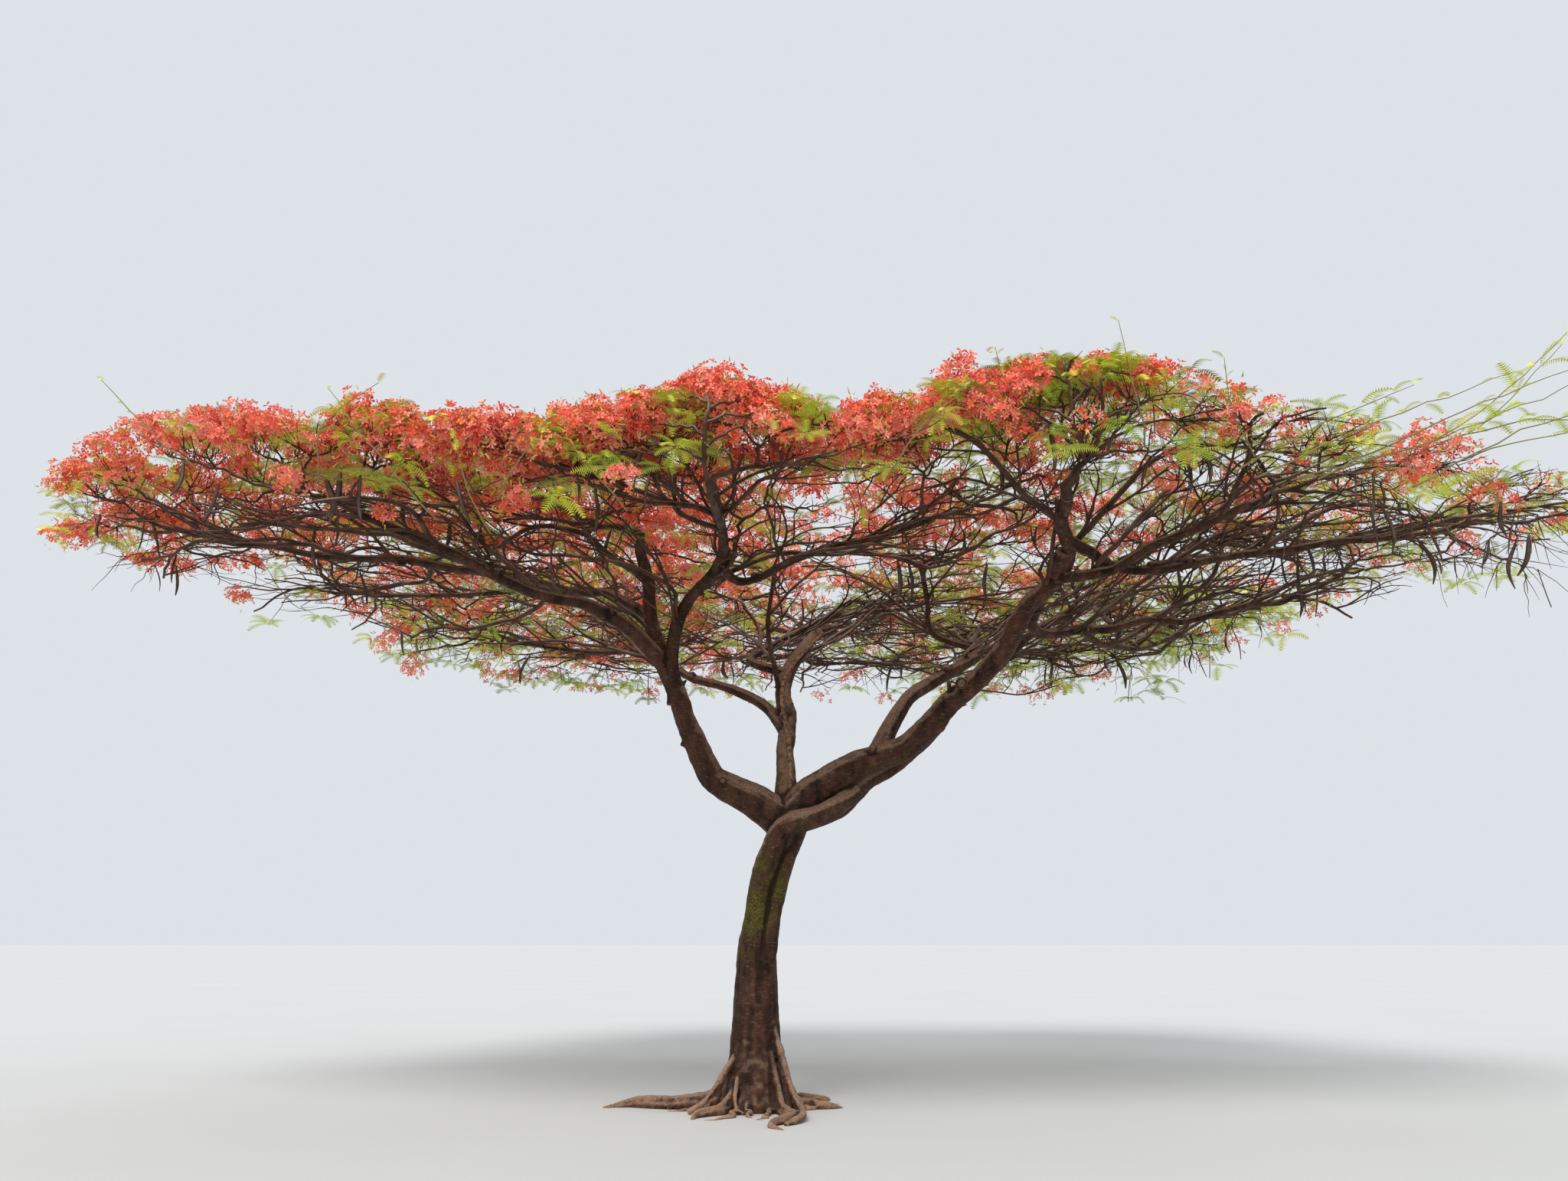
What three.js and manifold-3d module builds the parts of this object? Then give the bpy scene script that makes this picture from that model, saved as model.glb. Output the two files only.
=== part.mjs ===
// A flame tree in flower: a leaning trunk with a flared foot and surface roots, a fork of four limbs,
// boughs that spread almost level, and a wide flat crown of blossom, young leaves and bare twigs.
// Millimetres. +Z is up and ground level is Z = 0. The origin is the middle of the trunk's foot.
import * as THREE from "three";
import { mergeVertices } from "three/addons/utils/BufferGeometryUtils.js";
import Module from "manifold-3d";

const wasm = await Module();
wasm.setup();

// The crown is a flat umbrella. Its outline from above is a rounded rectangle, a superellipse, that is
// wider on the road side, where Y is low.
const CROWN_MIDDLE = [800, 1300];
const CROWN_HALF_WIDTH = { road: 8900, back: 6400 };
const CROWN_NARROWS = [-600, 2200]; // from this Y to that one
const CROWN_HALF_DEPTH = 4850;
const CROWN_SQUARENESS = 3;
const CROWN_TOP = 6560;
const CROWN_EDGE_DROOP = 260;
// Two places near the road side stand above the rest of the crown.
const DOMES = [
  { at: [-450, -2450], rise: 420, spread: 1000 },
  { at: [3150, -2500], rise: 800, spread: 1800 },
];

// The masses of foliage stand on three rings, evenly along each. A share of 1 is the crown's edge.
const RINGS = [
  { name: "inner", share: 0.22, count: 4, turn: 0.5 },
  { name: "middle", share: 0.54, count: 9, turn: 0.25 },
  { name: "outer", share: 0.86, count: 15, turn: 0.75 },
];

// The trunk's path and its radius at each height.
const TRUNK_PATH = [
  [0, 0, 0], [0, 0, 600], [0, 0, 1200], [20, 0, 1700], [120, 0, 2240], [225, 0, 2620], [330, 0, 2950],
];
const TRUNK_GIRTH = [
  [0, 400], [250, 335], [550, 275], [950, 238], [1500, 215], [2000, 182], [2400, 168], [2700, 180],
  [2950, 205],
];
// Surface roots, each a ridge that runs down the foot and out along the ground.
const ROOTS = [
  { bearing: 178, rise: 620, reach: 1560, thick: 120, bend: 0 },
  { bearing: 226, rise: 520, reach: 960, thick: 95, bend: 6 },
  { bearing: 258, rise: 330, reach: 640, thick: 60, bend: 10 },
  { bearing: 308, rise: 980, reach: 1420, thick: 95, bend: -26 },
  { bearing: 352, rise: 560, reach: 900, thick: 90, bend: 12 },
  { bearing: 52, rise: 600, reach: 1050, thick: 95, bend: -10 },
  { bearing: 118, rise: 520, reach: 980, thick: 90, bend: 8 },
];

// Limbs that show from below. Each leaves its parent at a share of that parent's length, passes its bends
// and ends where it enters the mass that it carries. thick gives its radius at the two ends.
const LIMBS = [
  { name: "left_bough", from: "trunk", at: 0.97, thick: [185, 62], carries: "middle_6",
    bends: [[-280, -40, 3260], [-770, -110, 3860], [-1010, -180, 4560], [-1230, -230, 5230]],
    tip: [-1330, -480, 5850] },
  { name: "right_bough", from: "trunk", at: 0.97, thick: [190, 64], carries: "outer_12",
    bends: [[980, -60, 3440], [1370, -100, 3600], [1710, -150, 3750], [2250, -400, 4300],
      [2750, -650, 4880], [3200, -1050, 5430]],
    tip: [3050, -2250, 5800] },
  { name: "middle_bough", from: "trunk", at: 0.99, thick: [126, 44], carries: "middle_3",
    bends: [[345, 380, 3800], [260, 700, 4560], [700, 1300, 5230], [820, 2200, 5620]],
    tip: [620, 3300, 5800] },
  { name: "back_bough", from: "trunk", at: 0.9, thick: [122, 52], carries: "middle_1",
    bends: [[330, -190, 2830], [640, -170, 2960], [1000, 10, 3150], [1440, 330, 3470], [1900, 520, 3860],
      [2440, 1100, 4420], [3300, 1480, 5250]],
    tip: [4000, 1750, 5720] },
  { name: "left_reach", from: "left_bough", at: 0.62, thick: [98, 40], carries: "outer_9",
    bends: [[-1560, -500, 5080], [-2250, -1080, 5150], [-3000, -1560, 5390]], tip: [-3900, -2060, 5690] },
  { name: "left_far", from: "left_reach", at: 0.62, thick: [54, 30], carries: "outer_8",
    bends: [[-3300, -1180, 5420], [-4500, -1000, 5600]], tip: [-5750, -880, 5790] },
  { name: "left_second", from: "left_bough", at: 0.5, thick: [92, 40], carries: "outer_11",
    bends: [[-930, -330, 4900], [-760, -520, 5260], [-330, -1100, 5540]], tip: [-380, -2350, 5850] },
  { name: "left_crossing", from: "left_second", at: 0.55, thick: [56, 30], carries: "middle_8",
    bends: [[-150, -620, 5440], [560, -1000, 5620]], tip: [1850, -1450, 5860] },
  { name: "left_back", from: "left_bough", at: 0.78, thick: [66, 34], carries: "middle_5",
    bends: [[-1560, 180, 5420], [-2100, 620, 5640]], tip: [-2800, 840, 5800] },
  { name: "middle_low_left", from: "middle_bough", at: 0.22, thick: [80, 38], carries: "middle_4",
    bends: [[-30, 900, 4410], [-760, 1450, 4760], [-1450, 2100, 5150]], tip: [-1850, 2800, 5620] },
  { name: "middle_crook", from: "middle_bough", at: 0.4, thick: [58, 32], carries: "inner_1",
    bends: [[-130, 1060, 4860], [60, 1330, 5140], [620, 1700, 5520]], tip: [1450, 1980, 5850] },
  { name: "right_inner", from: "right_bough", at: 0.23, thick: [108, 42], carries: "middle_2",
    bends: [[1620, 220, 4130], [1960, 500, 4530], [2600, 1000, 4980], [2780, 1850, 5300]],
    tip: [2800, 3150, 5700] },
  { name: "right_inner_crook", from: "right_inner", at: 0.55, thick: [46, 28], carries: "inner_4",
    bends: [[2120, 1080, 5250], [2050, 900, 5560]], tip: [1960, 560, 5880] },
  { name: "right_pale", from: "right_bough", at: 0.82, thick: [72, 38], carries: "outer_13",
    bends: [[3240, -990, 5290], [3790, -1390, 5450]], tip: [4890, -2060, 5790] },
  { name: "right_long", from: "right_bough", at: 0.86, thick: [60, 34], carries: "outer_14",
    bends: [[3900, -1000, 5480], [5300, -1120, 5580]], tip: [7000, -1180, 5780] },
  { name: "right_low", from: "right_bough", at: 0.7, thick: [70, 34], carries: "outer_15",
    bends: [[3150, -130, 4960], [4200, 300, 5200], [5600, 640, 5420]], tip: [6750, 800, 5760] },
  { name: "right_low_back", from: "right_low", at: 0.3, thick: [48, 28], carries: "outer_1",
    bends: [[4150, 820, 5050], [4950, 1600, 5260]], tip: [5700, 2500, 5600] },
];

const BOUGH_SIDES = 8;
const BOUGH_RING_EVERY = { fork: 340, other: 520 };

// The other boughs are grown by rule from the nearest limb to each mass that has none yet.
const GROWN_THICK = [40, 24];
const GROWN_TIP_HEIGHT = 5780;
const GROWN_TIP_SHORT = 420; // the bough ends this far before the middle of its mass
const GROWN_WAY_BACK = 0.3; // how much a long way back to the trunk counts against a parent
const GROWN_TURN = 900; // and a turn away from it
const GROWN_START = [0.3, 0.86]; // the stretch of a parent that may bear a bough
const GROWN_LEAD = 0.35; // the share of its length in which a bough turns away from its parent

// Twigs, blossom and leaves. The tips of the whole crown are spread like the seeds of a sunflower, in two
// layers.
const LAYERS = [
  { count: 270, drop: 0, turn: 0 },
  { count: 90, drop: 560, turn: 1.7 },
];
const TIP_REACH = 0.965; // the share of the crown's outline at which the outermost tips stand
const TIP_JITTER = 70;
const TIP_NEAREST = 500; // tips nearer than this to one another are thinned out
const FORK_SHARE = 0.4; // how far a twig runs towards the middle of its tips before it forks
const FORK_SINK = 0.55; // forks stay low: the share of the climb that is left to the last twigs
const TWIG_SIDES = 3;
const TWIG_RADIUS = 9;
const TWIG_GROWTH = 0.45; // a twig's radius grows with its number of tips to this power
const TIP_MARGIN = 250; // a tip keeps this far from its neighbour's space
const SOLID_MARGIN = 12; // and a solid this far
const LIMB_CLEARANCE = 25;
const HEAD_WIDTH = 780;
const HEAD_HEIGHT = 270;
const HEAD_TILT = 0.5;
const LEAF_LENGTH = 620;
const LEAF_WIDTH = 210;
const LEAF_THICKNESS = 26;
const LEAF_DROOP = 0.25;
const LEAF_TURNS = [0, 1.3, 2.6, 3.9, 5.2]; // the leaf takes the first of these turns in which it fits
const LEAFY_SHARE = { base: 0.22, right: 0.4, back: 0.2 };
// On the right some leafy tips are young shoots that stand above the rest.
const SHOOTS = { beyond: 4200, share: 0.6, rise: [250, 620] };

const GAP = 0.3; // clear space between two solids that meet
const GOLDEN_ANGLE = Math.PI * (3 - Math.sqrt(5));
const UP = new THREE.Vector3(0, 0, 1);
const X_AXIS = new THREE.Vector3(1, 0, 0);

const BARK = new THREE.MeshStandardMaterial({ color: 0x5b4033, roughness: 0.72, metalness: 0 });
const BLOSSOM = new THREE.MeshStandardMaterial({ color: 0xd9492f, roughness: 0.6, metalness: 0 });
const LEAF = new THREE.MeshStandardMaterial({ color: 0x9aa53a, roughness: 0.6, metalness: 0 });

const point = (p) => new THREE.Vector3(...p);
const clamp = (value, low, high) => Math.min(high, Math.max(low, value));

// A seeded stream of numbers from 0 to 1.
function randomFrom(seed) {
  let state = seed >>> 0;
  return () => {
    state = (Math.imul(state, 1664525) + 1013904223) >>> 0;
    return state / 4294967296;
  };
}

// The crown's shape

function halfWidth(y) {
  const { road, back } = CROWN_HALF_WIDTH;
  return THREE.MathUtils.lerp(road, back, THREE.MathUtils.smoothstep(y, ...CROWN_NARROWS));
}

// How far out a place lies: 0 is the crown's middle and 1 its edge.
function outness(x, y) {
  const u = Math.abs((x - CROWN_MIDDLE[0]) / halfWidth(y));
  const v = Math.abs((y - CROWN_MIDDLE[1]) / CROWN_HALF_DEPTH);
  return (u ** CROWN_SQUARENESS + v ** CROWN_SQUARENESS) ** (1 / CROWN_SQUARENESS);
}

function crownTop(x, y) {
  const domes = DOMES.map(({ at, rise, spread }) => {
    const away = Math.hypot(x - at[0], y - at[1]) / spread;
    return rise * Math.exp(-away * away);
  });
  return CROWN_TOP - CROWN_EDGE_DROOP * outness(x, y) ** 4 + domes.reduce((a, b) => a + b, 0);
}

// A point of the outline scaled by a share, at an angle of the superellipse's own.
function onRing(share, angle) {
  const power = 2 / CROWN_SQUARENESS;
  const [c, s] = [Math.cos(angle), Math.sin(angle)];
  const y = CROWN_MIDDLE[1] + share * CROWN_HALF_DEPTH * Math.sign(s) * Math.abs(s) ** power;
  return [CROWN_MIDDLE[0] + share * halfWidth(y) * Math.sign(c) * Math.abs(c) ** power, y];
}

function ringPlaces({ name, share, count, turn }) {
  const steps = 1440;
  const outline = Array.from({ length: steps + 1 }, (_, k) => onRing(share, (2 * Math.PI * k) / steps));
  const run = [0];
  for (let k = 1; k <= steps; k++) {
    run.push(run[k - 1] + Math.hypot(outline[k][0] - outline[k - 1][0], outline[k][1] - outline[k - 1][1]));
  }
  return Array.from({ length: count }, (_, k) => {
    const wanted = (((k + turn) / count) % 1) * run[steps];
    return { name: `${name}_${k + 1}`, middle: outline[run.findIndex((length) => length >= wanted)] };
  });
}

const MASSES = RINGS.flatMap(ringPlaces);
MASSES.forEach((mass, index) => {
  mass.seed = 101 + 7 * index;
});

// A mass owns the places that are nearer to its middle than to any other's. This is how far a place lies
// inside.
function roomIn(mass, x, y) {
  const rooms = MASSES.filter((other) => other !== mass).map((other) => {
    const [dx, dy] = [other.middle[0] - mass.middle[0], other.middle[1] - mass.middle[1]];
    const apart = Math.hypot(dx, dy);
    return apart / 2 - ((x - mass.middle[0]) * dx + (y - mass.middle[1]) * dy) / apart;
  });
  return Math.min(...rooms);
}

// Solids

function solidFrom(geometry) {
  const bare = geometry.clone();
  bare.deleteAttribute("normal");
  bare.deleteAttribute("uv");
  const merged = mergeVertices(bare, 1e-4);
  const index = merged.index.array;
  const faces = [];
  for (let k = 0; k < index.length; k += 3) {
    const [a, b, c] = index.slice(k, k + 3);
    if (a !== b && b !== c && c !== a) faces.push(a, b, c);
  }
  return new wasm.Manifold(
    new wasm.Mesh({
      numProp: 3,
      vertProperties: new Float32Array(merged.getAttribute("position").array),
      triVerts: new Uint32Array(faces),
    }),
  );
}

function geometryFrom(solid) {
  const { vertProperties, triVerts } = solid.getMesh();
  const geometry = new THREE.BufferGeometry();
  geometry.setAttribute("position", new THREE.BufferAttribute(new Float32Array(vertProperties), 3));
  geometry.setIndex(new THREE.BufferAttribute(new Uint32Array(triVerts), 1));
  geometry.computeVertexNormals();
  return geometry;
}

const largest = (solid) => solid.decompose().sort((a, b) => b.volume() - a.volume())[0];

// A cylinder bent through a row of rings. A ring has a place, a heading and a radius.
function bentCylinder(rings, sides) {
  const geometry = new THREE.CylinderGeometry(1, 1, 1, sides, rings.length - 1);
  const places = geometry.getAttribute("position");
  let across = new THREE.Vector3().crossVectors(rings[0].heading, rings[0].heading.x < 0.9 ? X_AXIS : UP);
  const frames = rings.map(({ heading }) => {
    across = across.clone().addScaledVector(heading, -across.dot(heading)).normalize();
    return [across, new THREE.Vector3().crossVectors(across, heading)];
  });
  for (let k = 0; k < places.count; k++) {
    const [x, y, z] = [places.getX(k), places.getY(k), places.getZ(k)];
    const ring = Math.round((y + 0.5) * (rings.length - 1));
    const { place, radius } = rings[ring];
    const [first, second] = frames[ring];
    const moved = place.clone().addScaledVector(first, x * radius).addScaledVector(second, z * radius);
    places.setXYZ(k, ...moved.toArray());
  }
  return solidFrom(geometry);
}

// Rings evenly along a curve. grow makes them that much wider all round and moves the end rings out by as
// much.
function ringsAlong(curve, radiusAt, sides, steps, grow) {
  return Array.from({ length: steps + 1 }, (_, k) => {
    const [place, heading] = [curve.getPointAt(k / steps), curve.getTangentAt(k / steps)];
    if (k === 0) place.addScaledVector(heading, -grow);
    if (k === steps) place.addScaledVector(heading, grow);
    return { place, heading, radius: radiusAt(k / steps) + grow / Math.cos(Math.PI / sides) };
  });
}

function curveThrough(points) {
  return new THREE.CatmullRomCurve3(points.map((p) => point(p)), false, "catmullrom", 0.5);
}

// Reads a value at a height from pairs of height and value, smoothly between them.
function valueAt(pairs, height) {
  const next = pairs.findIndex(([at]) => at >= height);
  if (next === 0) return pairs[0][1];
  if (next < 0) return pairs[pairs.length - 1][1];
  const [[lowAt, low], [highAt, high]] = [pairs[next - 1], pairs[next]];
  return THREE.MathUtils.lerp(low, high, THREE.MathUtils.smoothstep(height, lowAt, highAt));
}

// The trunk

const trunkCurve = curveThrough(TRUNK_PATH);

function rootCurve({ bearing, rise, reach, thick, bend }) {
  const [near, far] = [bearing, bearing + bend].map(THREE.MathUtils.degToRad);
  const out = (angle, distance, height) => [Math.cos(angle) * distance, Math.sin(angle) * distance, height];
  return curveThrough([
    out(near, 90, rise),
    out(near, 250, rise * 0.42),
    out(near, 420, thick * 0.7),
    out((near + far) / 2, (reach + 420) / 2, thick * 0.3),
    out(far, reach, -thick * 0.15),
  ]);
}

function trunkSolid(grow = 0) {
  const girth = (share) => valueAt(TRUNK_GIRTH, trunkCurve.getPointAt(share).z);
  const stem = bentCylinder(ringsAlong(trunkCurve, girth, 16, 12, grow), 16);
  const roots = ROOTS.map((root) =>
    bentCylinder(ringsAlong(rootCurve(root), (share) => root.thick * (1 - 0.55 * share), 7, 6, grow), 7));
  const ground = solidFrom(new THREE.BoxGeometry(6000, 6000, 2000).translate(0, 0, -1000));
  return largest(roots.reduce((a, b) => a.add(b), stem).subtract(ground));
}

// The boughs

const taper = ([base, tip]) => (share) => THREE.MathUtils.lerp(base, tip, share ** 0.8);

function makeLimb({ name, from, at, thick, bends, tip, carries }, parents) {
  const start = parents.get(from).curve.getPointAt(at);
  const curve = curveThrough([start.toArray(), ...bends, tip]);
  const wayBack = parents.get(from).wayBack + at * parents.get(from).curve.getLength();
  return { name, from, curve, wayBack, carries, radiusAt: taper(thick) };
}

// The limb and share of it from which a bough reaches a target with the least new wood, the shortest way
// back and the least turn.
function bestParent(target, limbs) {
  let best = { cost: Infinity };
  for (const limb of limbs.values()) {
    if (limb.name === "trunk") continue;
    for (let share = GROWN_START[0]; share <= GROWN_START[1]; share += 0.02) {
      const place = limb.curve.getPointAt(share);
      const run = target.clone().sub(place);
      const turn = limb.curve.getTangentAt(share).angleTo(run);
      const back = limb.wayBack + share * limb.curve.getLength();
      const cost = run.length() + GROWN_WAY_BACK * back + GROWN_TURN * (1 - Math.cos(turn));
      if (cost < best.cost) best = { cost, limb, share, place };
    }
  }
  return best;
}

function grownLimb(mass, limbs) {
  const target = point([...mass.middle, GROWN_TIP_HEIGHT]);
  const { limb, share, place } = bestParent(target, limbs);
  const random = randomFrom(mass.seed);
  const run = target.clone().sub(place);
  const tip = target.clone().addScaledVector(run.clone().setZ(0).normalize(), -GROWN_TIP_SHORT);
  const lead = limb.curve.getTangentAt(share).add(run.clone().normalize()).normalize();
  const bend = place.clone().addScaledVector(lead, run.length() * GROWN_LEAD);
  bend.z = THREE.MathUtils.lerp(place.z, tip.z, 0.45) - 60;
  const sideways = new THREE.Vector3().crossVectors(UP, run).normalize();
  const aside = (random() - 0.5) * 0.16 * run.length();
  const late = bend.clone().lerp(tip, 0.55).addScaledVector(sideways, aside);
  const spec = { from: limb.name, at: share, thick: GROWN_THICK, carries: mass.name };
  const bends = [bend.toArray(), late.toArray()];
  return makeLimb({ name: `bough_${mass.name}`, ...spec, bends, tip: tip.toArray() }, limbs);
}

function makeLimbs() {
  const limbs = new Map([["trunk", { name: "trunk", curve: trunkCurve, wayBack: 0, radiusAt: () => 200 }]]);
  for (const spec of LIMBS) limbs.set(spec.name, makeLimb(spec, limbs));
  const carried = new Set(LIMBS.map(({ carries }) => carries));
  const bare = MASSES.filter(({ name }) => !carried.has(name));
  bare.sort((a, b) => Math.hypot(...a.middle) - Math.hypot(...b.middle));
  for (const mass of bare) {
    const limb = grownLimb(mass, limbs);
    limbs.set(limb.name, limb);
  }
  return limbs;
}

function boughSolid({ from, curve, radiusAt }, grow = 0) {
  const every = from === "trunk" ? BOUGH_RING_EVERY.fork : BOUGH_RING_EVERY.other;
  const steps = Math.max(4, Math.round(curve.getLength() / every));
  return bentCylinder(ringsAlong(curve, radiusAt, BOUGH_SIDES, steps, grow), BOUGH_SIDES);
}

// The masses of foliage

// Spreads the coarse tips over the whole crown. Each goes to the mass that owns its place, pulled in until
// it stands clear of the neighbours' spaces.
function spreadTips() {
  const random = randomFrom(7);
  const tips = [];
  LAYERS.forEach(({ count, drop, turn }, layer) => {
    for (let k = 0; k < count; k++) {
      let [x, y] = onRing(TIP_REACH * Math.sqrt((k + 0.5) / count), turn + k * GOLDEN_ANGLE);
      const mass = MASSES.find((candidate) => roomIn(candidate, x, y) >= 0);
      for (let step = 0; step < 12 && roomIn(mass, x, y) < TIP_MARGIN; step++) {
        [x, y] = [x, y].map((value, axis) => THREE.MathUtils.lerp(value, mass.middle[axis], 0.08));
      }
      const leafy = random() < leafyAt(x, y);
      const shoots = leafy && layer === 0 && x > SHOOTS.beyond && random() < SHOOTS.share;
      const rise = shoots ? THREE.MathUtils.lerp(...SHOOTS.rise, random()) : -TIP_JITTER * random();
      const z = crownTop(x, y) - HEAD_HEIGHT / 2 - drop + rise;
      const beside = tips.filter((tip) => tip.layer === layer);
      const crowded = beside.some(({ place }) => Math.hypot(place.x - x, place.y - y) < TIP_NEAREST);
      if (!crowded) tips.push({ mass, layer, leafy, place: point([x, y, z]) });
    }
  });
  return tips;
}

function leafyAt(x, y) {
  const right = clamp((x - CROWN_MIDDLE[0]) / CROWN_HALF_WIDTH.road, 0, 1);
  const back = clamp((y - CROWN_MIDDLE[1]) / CROWN_HALF_DEPTH, 0, 1);
  return LEAFY_SHARE.base + LEAFY_SHARE.right * right + LEAFY_SHARE.back * back;
}

// A twig runs towards the middle of its tips and forks there. Its tips are shared out by side; it goes on
// to the share that lies straightest ahead, and a new twig leaves for each other one.
function growTwigs(tips, path, twigs) {
  const from = path[path.length - 1].place;
  const radius = TWIG_RADIUS * tips.length ** TWIG_GROWTH;
  const middle = new THREE.Vector3();
  for (const { place } of tips) middle.addScaledVector(place, 1 / tips.length);
  const fork = tips.length === 1 ? tips[0].place : from.clone().lerp(middle, FORK_SHARE);
  if (tips.length > 1) fork.z = from.z + (fork.z - from.z) * FORK_SINK;
  // A new twig starts as a point in the middle of the twig that bears it.
  if (path.length === 1) path.push({ place: from.clone().lerp(fork, 0.12), radius });
  path.push({ place: fork, radius: tips.length === 1 ? 0 : radius });
  if (tips.length === 1) {
    twigs.push({ path, tip: tips[0] });
    return;
  }
  const [dx, dy] = [middle.x - from.x, middle.y - from.y];
  const side = ({ place: { x, y } }) =>
    Math.atan2(dx * (y - fork.y) - dy * (x - fork.x), dx * (x - fork.x) + dy * (y - fork.y));
  const inOrder = [...tips].sort((a, b) => side(a) - side(b));
  const arms = tips.length === 3 || tips.length > 5 ? 3 : 2;
  for (let arm = 0; arm < arms; arm++) {
    const [first, last] = [arm, arm + 1].map((k) => Math.round((k * tips.length) / arms));
    growTwigs(inOrder.slice(first, last), arm === 1 ? path : [{ place: fork, radius: 0 }], twigs);
  }
}

// The rings of a twig, each headed midway between the stretches that meet there.
function ringsThrough(path) {
  return path.map(({ place, radius }, k) => {
    const [before, after] = [path[Math.max(k - 1, 0)].place, path[Math.min(k + 1, path.length - 1)].place];
    const [into, out] = [place.clone().sub(before).normalize(), after.clone().sub(place).normalize()];
    return { place, radius, heading: into.add(out).normalize() };
  });
}

// A flat head of blossom round a twig's tip.
function blossomHead(place, room, bearing, random) {
  const head = new THREE.SphereGeometry(1, 5, 2).rotateX(Math.PI / 2);
  const width = Math.min(HEAD_WIDTH * (0.88 + 0.24 * random()), 2 * room);
  head.scale(width / 2, (width / 2) * (0.8 + 0.2 * random()), HEAD_HEIGHT / 2);
  head.rotateX((random() - 0.5) * HEAD_TILT).rotateZ(bearing);
  return head.translate(...place.toArray());
}

// A leaf blade. The twig's tip meets it nearer to one end.
function leafBlade(place, bearing) {
  const blade = new THREE.OctahedronGeometry(1, 0);
  blade.scale(LEAF_LENGTH / 2, LEAF_WIDTH / 2, LEAF_THICKNESS / 2).translate(LEAF_LENGTH * 0.3, 0, 0);
  return blade.rotateY(LEAF_DROOP).rotateZ(bearing).translate(...place.toArray());
}

function corners(geometry) {
  const places = geometry.getAttribute("position");
  return Array.from({ length: places.count }, (_, k) => new THREE.Vector3().fromBufferAttribute(places, k));
}

// Tells whether a small piece keeps to its mass's space and clear of the limbs.
function fits(geometry, mass, limbPoints) {
  const outer = corners(geometry);
  if (outer.some(({ x, y }) => roomIn(mass, x, y) < SOLID_MARGIN)) return false;
  const box = new THREE.Box3().setFromPoints(outer);
  return limbPoints.every(({ place, radius }) => box.distanceToPoint(place) > radius + LIMB_CLEARANCE);
}

// Places along all limbs with the radius there.
function pointsAlong(limbs) {
  const found = [];
  for (const limb of limbs.values()) {
    const steps = Math.ceil(limb.curve.getLength() / 60);
    for (let k = 0; k <= steps; k++) {
      found.push({ place: limb.curve.getPointAt(k / steps), radius: limb.radiusAt(k / steps), limb });
    }
  }
  return found;
}

function massSolid(mass, tips, limb, limbPoints) {
  const random = randomFrom(mass.seed);
  const heading = limb.curve.getTangentAt(1);
  const foot = limb.curve.getPointAt(1).addScaledVector(heading, GAP);
  const stem = { place: foot, radius: limb.radiusAt(1) * 0.96 };
  const onward = foot.clone().addScaledVector(heading, stem.radius * 3);
  const shoulder = { place: onward, radius: stem.radius * 0.85 };
  const twigs = [];
  growTwigs(tips, [stem, shoulder], twigs);
  const away = ({ place }) => place.distanceTo(foot) > stem.radius * 4;
  const near = limbPoints.filter((p) => p.limb !== limb || away(p));
  const pieces = twigs.map(({ path }) => bentCylinder(ringsThrough(path), TWIG_SIDES));
  for (const { place, leafy } of tips) {
    const room = roomIn(mass, place.x, place.y) - SOLID_MARGIN;
    const turn = random() * 2 * Math.PI;
    const choices = leafy
      ? LEAF_TURNS.map((more) => leafBlade(place, turn + more))
      : [1, 0.8].map((share) => blossomHead(place, room * share, turn, random));
    const piece = choices.find((choice) => fits(choice, mass, near));
    if (piece) pieces.push(solidFrom(piece));
  }
  mass.leafy = tips.filter((tip) => tip.leafy).length > tips.length / 2;
  const whole = wasm.Manifold.union(pieces);
  const { min, max } = whole.boundingBox();
  const box = new THREE.Box3(point([min[0], min[1], min[2]]), point([max[0], max[1], max[2]]));
  const close = limbPoints.filter(({ place }) => box.distanceToPoint(place) < 100);
  const crossing = [...new Set(close.map((p) => p.limb))].filter(({ name }) => name !== "trunk");
  return largest(crossing.reduce((solid, other) => solid.subtract(boughSolid(other, GAP)), whole));
}

// The whole tree

function named(name, solid, material) {
  const mesh = new THREE.Mesh(geometryFrom(solid), material);
  mesh.name = name;
  return mesh;
}

const tree = new THREE.Group();
const limbs = makeLimbs();

tree.add(named("trunk", trunkSolid(), BARK));
// Each bough is cut 0.3 mm clear of the trunk and of the boughs made before it.
const made = [trunkSolid(GAP)];
for (const limb of limbs.values()) {
  if (limb.name === "trunk") continue;
  const cut = made.reduce((solid, other) => solid.subtract(other), boughSolid(limb));
  tree.add(named(limb.name, largest(cut), BARK));
  made.push(boughSolid(limb, GAP));
}

const limbPoints = pointsAlong(limbs);
const allTips = spreadTips();
for (const mass of MASSES) {
  const limb = [...limbs.values()].find(({ carries }) => carries === mass.name);
  const solid = massSolid(mass, allTips.filter((tip) => tip.mass === mass), limb, limbPoints);
  tree.add(named(`crown_${mass.name}`, solid, mass.leafy ? LEAF : BLOSSOM));
}

export default tree;
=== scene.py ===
"""Dresses the flame tree: bark with relief, twigs, blossom, feathery leaves, buds and pods, on a pale floor.

The layout of boughs, masses and twigs repeats the rule of the part's source and carries it to finer twigs.
All lengths are in metres.
"""
import functools
import math

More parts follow.
